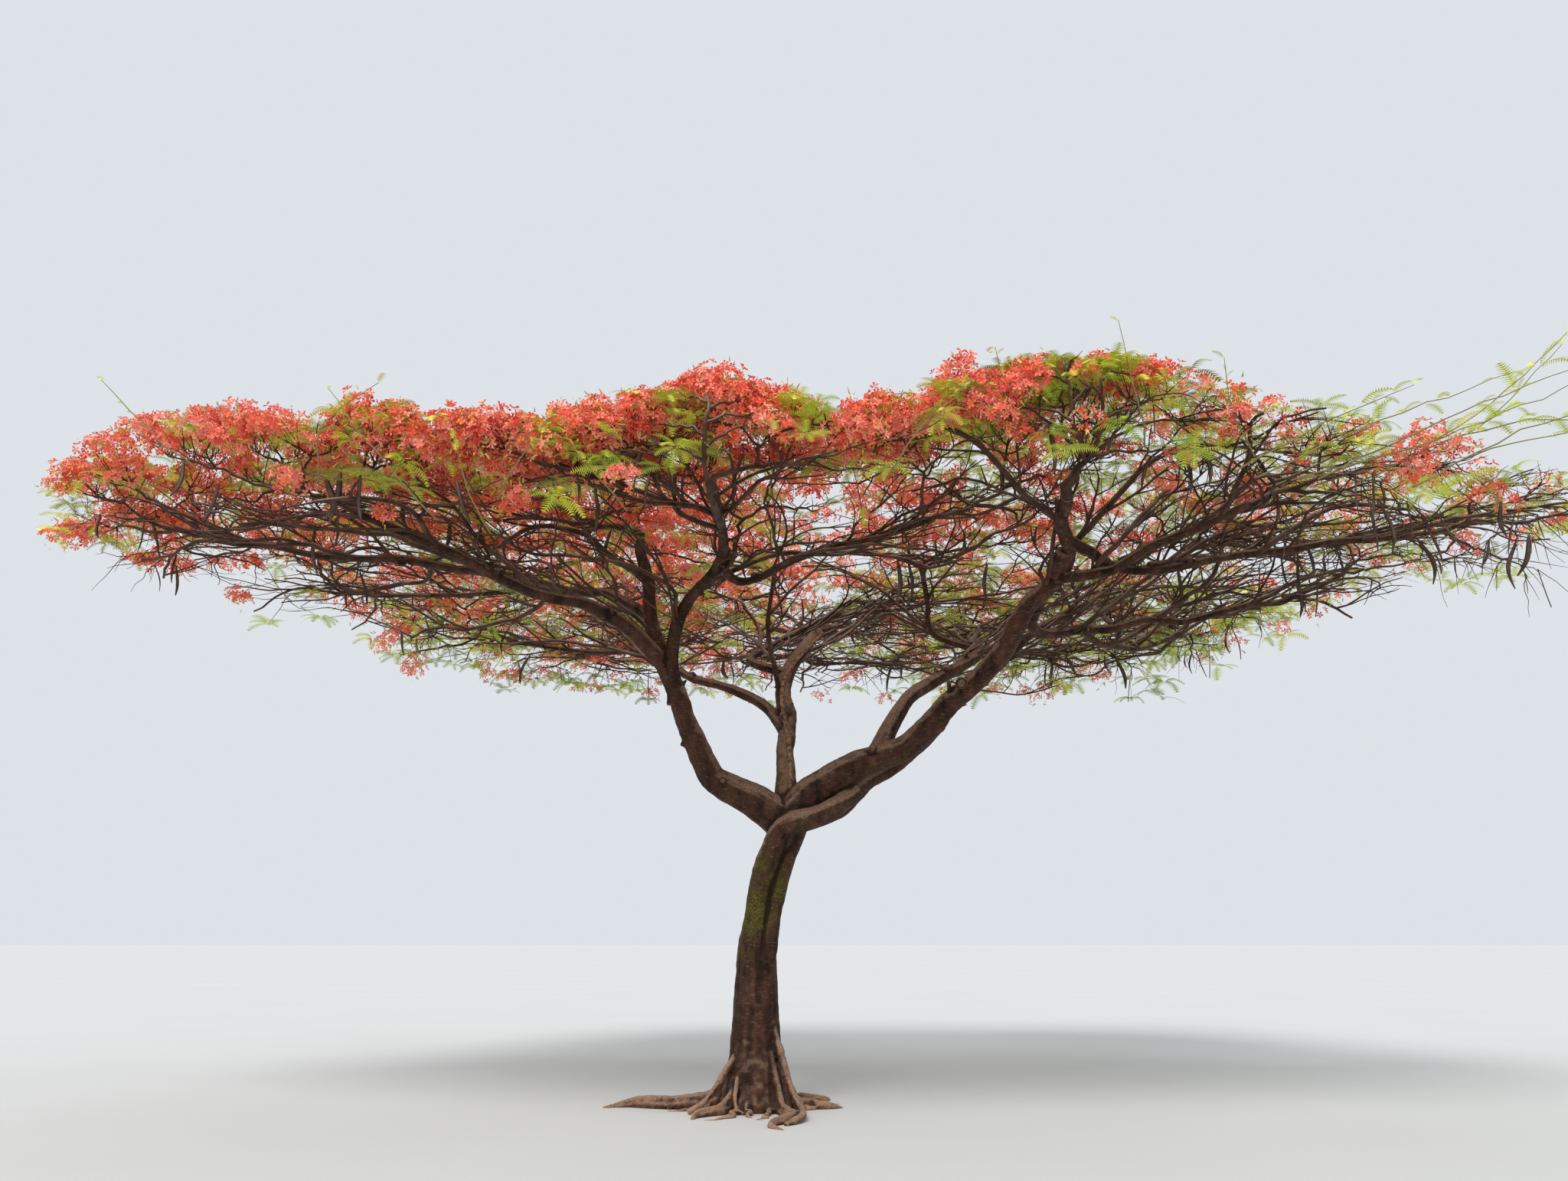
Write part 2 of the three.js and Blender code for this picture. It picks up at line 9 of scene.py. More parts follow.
import bpy
import mathutils
import numpy as np
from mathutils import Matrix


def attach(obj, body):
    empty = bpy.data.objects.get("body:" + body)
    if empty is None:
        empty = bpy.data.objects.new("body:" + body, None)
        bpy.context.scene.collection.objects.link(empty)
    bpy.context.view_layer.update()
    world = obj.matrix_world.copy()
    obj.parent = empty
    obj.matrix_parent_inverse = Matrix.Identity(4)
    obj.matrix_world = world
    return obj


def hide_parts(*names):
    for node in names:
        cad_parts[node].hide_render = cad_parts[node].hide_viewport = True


bl_info = {
    "name": "Flame Tree",
    "version": (1, 0, 0),
    "blender": (4, 5, 0),
    "location": "View3D > Sidebar > Flame Tree",
    "description": "Makes the bark, twigs, blossom, leaves and pods of a flame tree over its packed model",
    "category": "Add Mesh",
}

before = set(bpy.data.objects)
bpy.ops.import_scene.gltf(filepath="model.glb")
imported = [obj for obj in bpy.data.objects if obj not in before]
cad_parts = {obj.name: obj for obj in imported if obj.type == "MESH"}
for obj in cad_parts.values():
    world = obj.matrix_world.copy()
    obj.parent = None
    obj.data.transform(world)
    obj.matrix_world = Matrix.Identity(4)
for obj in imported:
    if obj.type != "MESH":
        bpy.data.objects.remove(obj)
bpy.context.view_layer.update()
CROWN_NODES = sorted(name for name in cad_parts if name.startswith("crown_"))
UP = np.array([0.0, 0.0, 1.0])
GOLDEN_ANGLE = math.pi * (3 - math.sqrt(5))

# Where each stream of random numbers starts
SEEDS = {
    "coarse_tips": 7, "grown_boughs": 101, "fine_tips": 31, "leafy_patches": 12, "lumps": 5, "trunk": 19,
    "boughs": 3, "twigs": 11, "shoot_lines": 67, "shoot_stems": 71, "blossom": 23, "leaves": 41, "pods": 53,
}

# The crown from above: a superellipse that is wider on the road side, where Y is low
CROWN_MIDDLE = (0.8, 1.3)
CROWN_HALF_WIDTH = {"road": 8.9, "back": 6.4}
CROWN_NARROWS = (-0.6, 2.2)
CROWN_HALF_DEPTH = 4.85
CROWN_SQUARENESS = 3
CROWN_TOP = 6.56
CROWN_EDGE_DROOP = 0.26
DOMES = [((-0.45, -2.45), 0.42, 1.0), ((3.15, -2.5), 0.8, 1.8)]  # place, rise, spread

# The masses of foliage stand on three rings: name, share of the outline, count, turn
RINGS = [("inner", 0.22, 4, 0.5), ("middle", 0.54, 9, 0.25), ("outer", 0.86, 15, 0.75)]

# The trunk: places along its middle from the foot up, then its radius at some heights
TRUNK_PATH = [
    (0, 0, 0), (0, 0, 0.6), (0, 0, 1.2), (0.02, 0, 1.7), (0.12, 0, 2.24), (0.225, 0, 2.62), (0.33, 0, 2.95),
]
TRUNK_GIRTH = [
    (0, 0.4), (0.25, 0.335), (0.55, 0.275), (0.95, 0.238), (1.5, 0.215), (2.0, 0.182), (2.4, 0.168),
    (2.7, 0.18), (2.95, 0.205),
]
# Surface roots: bearing, height where it leaves the trunk, reach, radius, bend
ROOTS = [
    (178, 0.62, 1.56, 0.12, 0), (226, 0.52, 0.96, 0.095, 6), (258, 0.33, 0.64, 0.06, 10),
    (308, 0.98, 1.42, 0.095, -26), (352, 0.56, 0.9, 0.09, 12), (52, 0.6, 1.05, 0.095, -10),
    (118, 0.52, 0.98, 0.09, 8),
]

# Limbs that show from below: name, parent, share along it, radii at the two ends, the mass that the limb
# carries, bends and tip
LIMBS = [
    ("left_bough", "trunk", 0.97, (0.185, 0.062), "middle_6",
     [(-0.28, -0.04, 3.26), (-0.77, -0.11, 3.86), (-1.01, -0.18, 4.56), (-1.23, -0.23, 5.23),
      (-1.33, -0.48, 5.85)]),
    ("right_bough", "trunk", 0.97, (0.19, 0.064), "outer_12",
     [(0.98, -0.06, 3.44), (1.37, -0.1, 3.6), (1.71, -0.15, 3.75), (2.25, -0.4, 4.3), (2.75, -0.65, 4.88),
      (3.2, -1.05, 5.43), (3.05, -2.25, 5.8)]),
    ("middle_bough", "trunk", 0.99, (0.126, 0.044), "middle_3",
     [(0.345, 0.38, 3.8), (0.26, 0.7, 4.56), (0.7, 1.3, 5.23), (0.82, 2.2, 5.62), (0.62, 3.3, 5.8)]),
    ("back_bough", "trunk", 0.9, (0.122, 0.052), "middle_1",
     [(0.33, -0.19, 2.83), (0.64, -0.17, 2.96), (1.0, 0.01, 3.15), (1.44, 0.33, 3.47), (1.9, 0.52, 3.86),
      (2.44, 1.1, 4.42), (3.3, 1.48, 5.25), (4.0, 1.75, 5.72)]),
    ("left_reach", "left_bough", 0.62, (0.098, 0.04), "outer_9",
     [(-1.56, -0.5, 5.08), (-2.25, -1.08, 5.15), (-3.0, -1.56, 5.39), (-3.9, -2.06, 5.69)]),
    ("left_far", "left_reach", 0.62, (0.054, 0.03), "outer_8",
     [(-3.3, -1.18, 5.42), (-4.5, -1.0, 5.6), (-5.75, -0.88, 5.79)]),
    ("left_second", "left_bough", 0.5, (0.092, 0.04), "outer_11",
     [(-0.93, -0.33, 4.9), (-0.76, -0.52, 5.26), (-0.33, -1.1, 5.54), (-0.38, -2.35, 5.85)]),
    ("left_crossing", "left_second", 0.55, (0.056, 0.03), "middle_8",
     [(-0.15, -0.62, 5.44), (0.56, -1.0, 5.62), (1.85, -1.45, 5.86)]),
    ("left_back", "left_bough", 0.78, (0.066, 0.034), "middle_5",
     [(-1.56, 0.18, 5.42), (-2.1, 0.62, 5.64), (-2.8, 0.84, 5.8)]),
    ("middle_low_left", "middle_bough", 0.22, (0.08, 0.038), "middle_4",
     [(-0.03, 0.9, 4.41), (-0.76, 1.45, 4.76), (-1.45, 2.1, 5.15), (-1.85, 2.8, 5.62)]),
    ("middle_crook", "middle_bough", 0.4, (0.058, 0.032), "inner_1",
     [(-0.13, 1.06, 4.86), (0.06, 1.33, 5.14), (0.62, 1.7, 5.52), (1.45, 1.98, 5.85)]),
    ("right_inner", "right_bough", 0.23, (0.108, 0.042), "middle_2",
     [(1.62, 0.22, 4.13), (1.96, 0.5, 4.53), (2.6, 1.0, 4.98), (2.78, 1.85, 5.3), (2.8, 3.15, 5.7)]),
    ("right_inner_crook", "right_inner", 0.55, (0.046, 0.028), "inner_4",
     [(2.12, 1.08, 5.25), (2.05, 0.9, 5.56), (1.96, 0.56, 5.88)]),
    ("right_pale", "right_bough", 0.82, (0.072, 0.038), "outer_13",
     [(3.24, -0.99, 5.3), (3.79, -1.39, 5.45), (4.89, -2.06, 5.79)]),
    ("right_long", "right_bough", 0.86, (0.06, 0.034), "outer_14",
     [(3.9, -1.0, 5.48), (5.3, -1.12, 5.58), (7.0, -1.18, 5.78)]),
    ("right_low", "right_bough", 0.7, (0.07, 0.034), "outer_15",
     [(3.15, -0.13, 4.96), (4.2, 0.3, 5.2), (5.6, 0.64, 5.42), (6.75, 0.8, 5.76)]),
    ("right_low_back", "right_low", 0.3, (0.048, 0.028), "outer_1",
     [(4.15, 0.82, 5.05), (4.95, 1.6, 5.26), (5.7, 2.5, 5.6)]),
]

# The other boughs are grown by rule, from the nearest limb to each mass that has none yet
GROWN_THICK = (0.04, 0.024)
GROWN_TIP_HEIGHT = 5.78
GROWN_TIP_SHORT = 0.42
GROWN_WAY_BACK = 0.3
GROWN_TURN = 0.9
GROWN_START = np.arange(0.3, 0.86, 0.02)
GROWN_LEAD = 0.35

# Coarse tips of the twigs, in two layers: count, drop, turn
LAYERS = [(270, 0.0, 0.0), (90, 0.56, 1.7)]
TIP_REACH = 0.965
TIP_JITTER = 0.07
TIP_NEAREST = 0.5
TIP_MARGIN = 0.25
HEAD_HEIGHT = 0.27
LEAFY_SHARE = {"base": 0.22, "right": 0.4, "back": 0.2}
SHOOTS = {"beyond": 4.2, "share": 0.6, "rise": (0.25, 0.62)}
FORK_SHARE = 0.4
FORK_SINK = 0.55
TWIG_GROWTH = 0.45

# Small numbers and shapes


def random_from(seed):
    """Gives a seeded stream of numbers from 0 to 1, the same one as the part's source."""
    state = seed & 0xFFFFFFFF
    while True:
        state = (state * 1664525 + 1013904223) & 0xFFFFFFFF
        yield state / 4294967296


def unit(vectors):
    """Scales vectors to length 1."""
    return vectors / np.linalg.norm(vectors, axis=-1, keepdims=True)


def smooth_step(value, low, high):
    """Goes from 0 to 1 between low and high, softly at both ends."""
    t = min(max((value - low) / (high - low), 0), 1)
    return t * t * (3 - 2 * t)


def soft_noise(x, y, wave, seed):
    """Gives gentle lumps from about -1 to 1 over a plan, with the given distance between them."""
    draw = np.random.default_rng(seed)
    total = np.zeros(np.shape(x))
    for _ in range(6):
        bearing, shift = draw.uniform(0, 2 * math.pi, 2)
        pitch = 2 * math.pi / (wave * draw.uniform(0.7, 1.5))
        total = total + np.sin(pitch * (x * math.cos(bearing) + y * math.sin(bearing)) + shift)
    return total / 3


class Curve:
    """A smooth curve through points, read at shares of its length."""

    def __init__(self, points):
        ends = np.array(points, dtype=float)
        ends = np.vstack([2 * ends[0] - ends[1], ends, 2 * ends[-1] - ends[-2]])
        t = np.linspace(0, 1, 40, endpoint=False)[:, None]
        spans = []
        for a, b, c, d in zip(ends, ends[1:], ends[2:], ends[3:]):
            spans.append(b + 0.5 * t * (c - a + t * (2 * a - 5 * b + 4 * c - d + t * (3 * (b - c) + d - a))))
        self.line = np.vstack(spans + [ends[-2:-1]])
        self.run = np.append(0, np.cumsum(np.linalg.norm(np.diff(self.line, axis=0), axis=1)))
        self.length = self.run[-1]

    def at(self, share):
        """Gives the place at a share, or the places at an array of shares."""
        wanted = np.asarray(share, dtype=float) * self.length
        return np.stack([np.interp(wanted, self.run, self.line[:, axis]) for axis in range(3)], axis=-1)

    def heading(self, share):
        """Gives the way the curve runs at a share or shares."""
        share = np.asarray(share, dtype=float)
        return unit(self.at(np.minimum(share + 0.002, 1)) - self.at(np.maximum(share - 0.002, 0)))


# The crown's layout


def half_width(y):
    """Gives the crown's half width at a Y."""
    road, back = CROWN_HALF_WIDTH["road"], CROWN_HALF_WIDTH["back"]
    return road + (back - road) * smooth_step(y, *CROWN_NARROWS)


def outness(x, y):
    """Tells how far out a place lies: 0 is the crown's middle and 1 its edge."""
    u = abs((x - CROWN_MIDDLE[0]) / half_width(y))
    v = abs((y - CROWN_MIDDLE[1]) / CROWN_HALF_DEPTH)
    return (u ** CROWN_SQUARENESS + v ** CROWN_SQUARENESS) ** (1 / CROWN_SQUARENESS)


def crown_top(x, y):
    """Gives the height of the crown's top over a place."""
    top = CROWN_TOP - CROWN_EDGE_DROOP * outness(x, y) ** 4
    for at, rise, spread in DOMES:
        away = math.hypot(x - at[0], y - at[1]) / spread
        top += rise * math.exp(-away * away)
    return top


def on_ring(share, angle):
    """Gives a point of the outline scaled by a share."""
    power = 2 / CROWN_SQUARENESS
    c, s = math.cos(angle), math.sin(angle)
    y = CROWN_MIDDLE[1] + share * CROWN_HALF_DEPTH * math.copysign(abs(s) ** power, s)
    return CROWN_MIDDLE[0] + share * half_width(y) * math.copysign(abs(c) ** power, c), y


def mass_middles():
    """Gives each mass's middle, evenly along the three rings, by name."""
    middles = {}
    for name, share, count, turn in RINGS:
        steps = 1440
        outline = np.array([on_ring(share, 2 * math.pi * k / steps) for k in range(steps + 1)])
        run = np.append(0, np.cumsum(np.linalg.norm(np.diff(outline, axis=0), axis=1)))
        for k in range(count):
            wanted = ((k + turn) / count % 1) * run[-1]
            middles[f"{name}_{k + 1}"] = outline[np.searchsorted(run, wanted)]
    return middles


def room_in(middles, name, x, y):
    """Tells how far a place lies inside a mass's own space, where that mass's middle is the nearest one."""
    own = middles[name]
    others = np.array([middle for other, middle in middles.items() if other != name]) - own
    apart = np.linalg.norm(others, axis=1)
    return np.min(apart / 2 - (others[:, 0] * (x - own[0]) + others[:, 1] * (y - own[1])) / apart)


def make_limb(name, parent, share, thick, carries, points, limbs):
    """Makes one limb from its place on its parent."""
    start = limbs[parent]["curve"].at(share)
    curve = Curve([start, *points])
    way_back = limbs[parent]["way_back"] + share * limbs[parent]["curve"].length
    return {"name": name, "curve": curve, "thick": thick, "carries": carries, "way_back": way_back}


def best_parent(target, limbs):
    """Finds the limb and share from which a bough reaches a target with little wood, way back and turn."""
    best = (math.inf, None, 0)
    for limb in limbs.values():
        if limb["name"] == "trunk":
            continue
        run = target - limb["curve"].at(GROWN_START)
        length = np.linalg.norm(run, axis=1)
        turn = np.sum(limb["curve"].heading(GROWN_START) * run, axis=1) / length
        back = limb["way_back"] + GROWN_START * limb["curve"].length
        cost = length + GROWN_WAY_BACK * back + GROWN_TURN * (1 - turn)
        k = int(np.argmin(cost))
        if cost[k] < best[0]:
            best = (cost[k], limb, GROWN_START[k])
    return best[1:]


def grow_limb(name, middle, seed, limbs):
    """Grows a bough to a mass that no traced limb carries."""
    target = np.array([*middle, GROWN_TIP_HEIGHT])
    limb, share = best_parent(target, limbs)
    place = limb["curve"].at(share)
    run = target - place
    tip = target - GROWN_TIP_SHORT * unit(run * [1, 1, 0])
    lead = unit(limb["curve"].heading(share) + unit(run))
    bend = place + lead * np.linalg.norm(run) * GROWN_LEAD
    bend[2] = place[2] + 0.45 * (tip[2] - place[2]) - 0.06
    sideways = unit(np.cross(UP, run))
    swing = next(random_from(seed)) - 0.5
    late = bend + 0.55 * (tip - bend) + sideways * swing * 0.16 * np.linalg.norm(run)
    return make_limb(f"bough_{name}", limb["name"], share, GROWN_THICK, name, [bend, late, tip], limbs)


def leafy_at(x, y):
    """Gives the share of tips at a place that bear leaves and no blossom."""
    right = min(max((x - CROWN_MIDDLE[0]) / CROWN_HALF_WIDTH["road"], 0), 1)
    back = min(max((y - CROWN_MIDDLE[1]) / CROWN_HALF_DEPTH, 0), 1)
    return LEAFY_SHARE["base"] + LEAFY_SHARE["right"] * right + LEAFY_SHARE["back"] * back


def coarse_tips(middles):
    """Spreads the coarse tips over the crown like the seeds of a sunflower, in two layers."""
    draw = random_from(SEEDS["coarse_tips"])
    tips = []
    for layer, (count, drop, turn) in enumerate(LAYERS):
        for k in range(count):
            x, y = on_ring(TIP_REACH * math.sqrt((k + 0.5) / count), turn + k * GOLDEN_ANGLE)
            mass = next(name for name in middles if room_in(middles, name, x, y) >= 0)
            for _ in range(12):
                if room_in(middles, mass, x, y) >= TIP_MARGIN:
                    break
                x += 0.08 * (middles[mass][0] - x)
                y += 0.08 * (middles[mass][1] - y)
            leafy = next(draw) < leafy_at(x, y)
            shoots = leafy and layer == 0 and x > SHOOTS["beyond"] and next(draw) < SHOOTS["share"]
            low, high = SHOOTS["rise"]
            rise = low + (high - low) * next(draw) if shoots else -TIP_JITTER * next(draw)
            place = np.array([x, y, crown_top(x, y) - HEAD_HEIGHT / 2 - drop + rise])
            others = [tip["place"] for tip in tips if tip["layer"] == layer]
            if all(np.hypot(*(other - place)[:2]) >= TIP_NEAREST for other in others):
                tips.append({"place": place, "mass": mass, "layer": layer, "leafy": leafy, "shoot": shoots,
                             "fine": []})
    return tips


# Fine tips: count and depth below the crown's top for each layer
FINE_LAYERS = [(4800, 0.0), (1100, 0.5)]
FINE_REACH = 0.985
FINE_CROWDING = 0.38  # a power below a half, which draws them towards the rim
FINE_AWAY = 0.72  # the furthest that one stands from its coarse tip
FINE_JITTER = 0.07
FINE_RADIUS = 0.0042
FINE_SINK = 0.35
FINE_DEPTH = {"inside": 0.13, "rim": 0.42}
FINE_THIN = ([-7.0, -2.5, 1.5], [0.62, 0.72, 1.0])  # the blossom lies in a thinner sheet towards the left
HEAD_DEPTH = 0.19
COARSE_RADIUS = 0.0125
COARSE_LOWER = 0.2  # how much lower a coarse tip without fine ones lies
LUMPS = {"height": 0.12, "wave": 1.2}
# Where the heads stand higher: place, rise, spread
LIFTS = [((-5.7, -2.4), 0.3, 1.7), ((-3.9, -2.6), 0.1, 1.0), ((-0.6, -2.8), 0.15, 0.8)]
# More tips where the blossom is thickest
FRONT_TIPS = {"count": 640, "x": (-3.8, 3.8), "y": (-3.4, -1.6), "depth": 0.34}
# Shares of leafy tips, of bare tips and of more bare ones at the back: places along X, and the shares there
LEAFY_ALONG = ([-7.0, -4.0, -1.2, 0.8, 2.4, 5.0, 8.0], [0.3, 0.27, 0.08, 0.17, 0.55, 0.78, 0.86])
LEAFY = {"back": 0.3, "patches": 0.75, "wave": 0.8}
BARE_ALONG = ([-7.0, -3.0, -1.5, 1.4, 2.6, 4.5, 8.0], [0.34, 0.3, 0.0, 0.0, 0.06, 0.44, 0.74])
BARE_BACK = ([-2.0, 3.0, 5.0], [0.4, 0.4, 0.22])
LOWER_ENDS = 4.6
LOWER_SHARE = {"blossom": 0.08, "leaves": 0.15, "rim": 0.3, "right": 0.5}


def bears_what(x, y, layer, draw):
    """Tells what a fine tip bears: leaves come in patches, and most of the lower tips inside are bare."""
    back = np.clip((y - 0.8) / 2.5, 0, 1)
    leafy = np.interp(x, *LEAFY_ALONG) + LEAFY["back"] * back
    leafy += LEAFY["patches"] * (soft_noise(x, y, LEAFY["wave"], SEEDS["leafy_patches"]) - 0.05)
    if layer == 0:
        bare = np.interp(x, *BARE_ALONG) * (1 - 0.75 * smooth_step(y, -0.5, 1.5))
        if draw.random() < bare + back * np.interp(x, *BARE_BACK):
            return "nothing"
        return "leaves" if draw.random() < leafy else "blossom"
    if abs(x) > LOWER_ENDS and y < 0.5:
        return "nothing"
    rim = smooth_step(outness(x, y), 0.75, 0.95)
    chance = draw.random() / (1 + LOWER_SHARE["rim"] / LOWER_SHARE["blossom"] * rim)
    chance /= 1 - LOWER_SHARE["right"] * smooth_step(x, 3, 5)
    if chance < LOWER_SHARE["blossom"]:
        return "blossom"
    return "leaves" if chance < LOWER_SHARE["blossom"] + LOWER_SHARE["leaves"] else "nothing"


def lift_at(x, y):
    """Gives how much higher the heads stand over a place."""
    return sum(rise * math.exp(-(math.hypot(x - at[0], y - at[1]) / wide) ** 2) for at, rise, wide in LIFTS)


def add_fine_tip(bearer, x, y, z, layer, draw):
    """Adds a fine tip to the coarse one that bears it."""
    bears = bears_what(x, y, layer, draw)
    bearer["fine"].append({"place": np.array([x, y, z]), "bears": bears, "layer": layer})


def add_layer_tips(layer, bearers, places, draw):
    """Spreads the fine tips of a layer over a lumpy crown top that hangs lower round its rim."""
    count, drop = FINE_LAYERS[layer]
    for k in range(count):
        x, y = on_ring(FINE_REACH * ((k + 0.5) / count) ** FINE_CROWDING, 0.4 + k * GOLDEN_ANGLE)
        x, y = (x, y) + draw.uniform(-FINE_JITTER, FINE_JITTER, 2)
        away = np.hypot(places[:, 0] - x, places[:, 1] - y)
        nearest = int(np.argmin(away))
        if away[nearest] > FINE_AWAY * draw.uniform(0.8, 1.1) or outness(x, y) > 1:
            continue
        lump = LUMPS["height"] * soft_noise(x, y, LUMPS["wave"], SEEDS["lumps"] + layer)
        deep = np.interp(outness(x, y), [0.68, 0.9], [FINE_DEPTH["inside"], FINE_DEPTH["rim"]])
        deep *= np.interp(x, *FINE_THIN)
        z = crown_top(x, y) - HEAD_DEPTH - drop + lump + lift_at(x, y) - deep * draw.random()
        add_fine_tip(bearers[nearest], x, y, z, layer, draw)


def add_front_tips(bearers, places, draw):
    """Adds more tips to the upper layer along the crown's front."""
    for _ in range(FRONT_TIPS["count"]):
        x, y = draw.uniform(*FRONT_TIPS["x"]), draw.uniform(*FRONT_TIPS["y"])
        nearest = int(np.argmin(np.hypot(places[:, 0] - x, places[:, 1] - y)))
        z = crown_top(x, y) - HEAD_DEPTH + lift_at(x, y) - FRONT_TIPS["depth"] * draw.random()
        add_fine_tip(bearers[nearest], x, y, z, 0, draw)


def add_fine_tips(tips):
    """Shares fine tips out among the coarse ones, and tells what each coarse tip without any bears."""
    draw = np.random.default_rng(SEEDS["fine_tips"])
    for layer in range(len(FINE_LAYERS)):
        bearers = [tip for tip in tips if tip["layer"] == layer and not tip["shoot"]]
        places = np.array([tip["place"][:2] for tip in bearers])
        add_layer_tips(layer, bearers, places, draw)
        if layer == 0:
            add_front_tips(bearers, places, draw)
    for tip in tips:
        if tip["shoot"]:
            tip["bears"] = "shoot"
        elif not tip["fine"]:
            tip["bears"] = "leaves" if tip["leafy"] else "blossom"
            tip["place"] = tip["place"] - [0, 0, COARSE_LOWER]


def grow_twigs(tips, path, twigs, tip_radius=COARSE_RADIUS, sink=FORK_SINK):
    """Runs a twig towards the middle of its tips and forks it there, as the part's source does.

    A coarse tip goes on to its fine tips. Each finished twig is a list of places and radii, with its tip.
    """
    start, limit = path[-1]
    if len(tips) == 1 and tips[0].get("fine"):
        tip = tips[0]
        via = start + 0.5 * (tip["place"] - start)
        via[2] = start[2] + 0.3 * (tip["place"][2] - start[2])
        path.append((via, min(tip_radius, limit)))
        grow_twigs(tip["fine"], path, twigs, FINE_RADIUS, FINE_SINK)
        return
    radius = min(tip_radius * len(tips) ** TWIG_GROWTH, limit)
    middle = np.mean([tip["place"] for tip in tips], axis=0)
    fork = tips[0]["place"] if len(tips) == 1 else start + FORK_SHARE * (middle - start)
    if len(tips) > 1:
        fork[2] = start[2] + (fork[2] - start[2]) * sink
    path.append((fork, radius * (0.5 if len(tips) == 1 else 1)))
    if len(tips) == 1:
        twigs.append((path, tips[0]))
        return
    dx, dy = middle[0] - start[0], middle[1] - start[1]

    def side(tip):
        x, y = tip["place"][0] - fork[0], tip["place"][1] - fork[1]
        return math.atan2(dx * y - dy * x, dx * x + dy * y)

    in_order = sorted(tips, key=side)
    arms = 3 if len(tips) == 3 or len(tips) > 5 else 2
    for arm in range(arms):
        first, last = (math.floor(k * len(tips) / arms + 0.5) for k in (arm, arm + 1))
        onward = path if arm == 1 else [(fork.copy(), radius * 0.9)]
        grow_twigs(in_order[first:last], onward, twigs, tip_radius, sink)


@functools.lru_cache
def tree_plan():
    """Works out the limbs, the tips and the twigs once for all operators."""
    middles = mass_middles()
    trunk = {"name": "trunk", "curve": Curve(TRUNK_PATH), "thick": (0.4, 0.2), "carries": None, "way_back": 0}
    limbs = {"trunk": trunk}
    for name, parent, share, thick, carries, points in LIMBS:
        limbs[name] = make_limb(name, parent, share, thick, carries, points, limbs)
    carried = {limb["carries"] for limb in limbs.values()}
    bare = sorted((m for m in middles if m not in carried), key=lambda m: math.hypot(*middles[m]))
    seeds = {name: SEEDS["grown_boughs"] + 7 * index for index, name in enumerate(middles)}
    for name in bare:
        limb = grow_limb(name, middles[name], seeds[name], limbs)
        limbs[limb["name"]] = limb
    tips = coarse_tips(middles)
    add_fine_tips(tips)
    twigs = []
    for limb in limbs.values():
        mine = [tip for tip in tips if tip["mass"] == limb["carries"]]
        if not mine:
            continue
        foot, heading, radius = limb["curve"].at(1), limb["curve"].heading(1), limb["thick"][1]
        path = [(foot - 0.05 * heading, radius), (foot + 3 * radius * heading, radius * 0.85)]
        grow_twigs(mine, path, twigs)
    return {"limbs": limbs, "tips": tips, "twigs": twigs}


# Meshes from arrays


class Bundle:
    """Gathers the triangles of many small things that become one piece."""

    def __init__(self):
        self.points, self.faces, self.count = [], [], 0

    def add(self, points, faces):
        """Adds points and the triangles between them."""
        self.points.append(points.reshape(-1, 3))
        self.faces.append(faces.reshape(-1, 3) + self.count)
        self.count += len(self.points[-1])

    def add_copies(self, shape, places, axes, sizes):
        """Adds a copy of a shape at each place, turned to the axes there and scaled."""
        points, faces = shape
        moved = np.einsum("vk,nkc->nvc", points, axes) * np.reshape(sizes, (-1, 1, 1)) + places[:, None, :]
        steps = np.arange(len(places))[:, None, None] * len(points)
        self.add(moved, faces[None] + steps)

    def piece(self, name, smooth):
        """Makes the piece."""
        points = np.concatenate(self.points).astype(np.float32)
        faces = np.concatenate(self.faces).astype(np.int32)
        mesh = bpy.data.meshes.new(name)
        mesh.vertices.add(len(points))
        mesh.vertices.foreach_set("co", points.ravel())
        mesh.loops.add(faces.size)
        mesh.loops.foreach_set("vertex_index", faces.ravel())
        mesh.polygons.add(len(faces))
        mesh.polygons.foreach_set("loop_start", np.arange(0, faces.size, 3, dtype=np.int32))
        mesh.polygons.foreach_set("use_smooth", np.full(len(faces), smooth))
        mesh.update()
        mesh.validate()
        obj = bpy.data.objects.new(name, mesh)
        bpy.context.collection.objects.link(obj)
        return obj


def tube(places, radii, sides):
    """Gives a tube through places that closes to a point at both ends."""
    heading = unit(np.gradient(places, axis=0))
    across = np.cross(heading[0], UP if abs(heading[0][2]) < 0.9 else [1.0, 0.0, 0.0])
    first = unit(across - heading * np.sum(across * heading, axis=1, keepdims=True))
    second = np.cross(heading, first)
    angle = np.arange(sides) * 2 * math.pi / sides
    ring = first[:, None] * np.cos(angle)[:, None] + second[:, None] * np.sin(angle)[:, None]
    rings = places[:, None] + ring * np.reshape(radii, (-1, 1, 1))
    ends = [places[0] - heading[0] * radii[0] * 0.5, places[-1] + heading[-1] * radii[-1] * 0.5]
    points = np.vstack([rings.reshape(-1, 3), ends])
    count = len(places)
    a = (np.arange(count - 1)[:, None] * sides + np.arange(sides)).ravel()
    b = (np.arange(count - 1)[:, None] * sides + (np.arange(sides) + 1) % sides).ravel()
    walls = np.concatenate([np.stack([a, b, b + sides], 1), np.stack([a, b + sides, a + sides], 1)])
    here, there = np.arange(sides), (np.arange(sides) + 1) % sides
    last = (count - 1) * sides
    low = np.stack([there, here, np.full(sides, count * sides)], 1)
    high = np.stack([here + last, there + last, np.full(sides, count * sides + 1)], 1)
    return points, np.concatenate([walls, low, high])


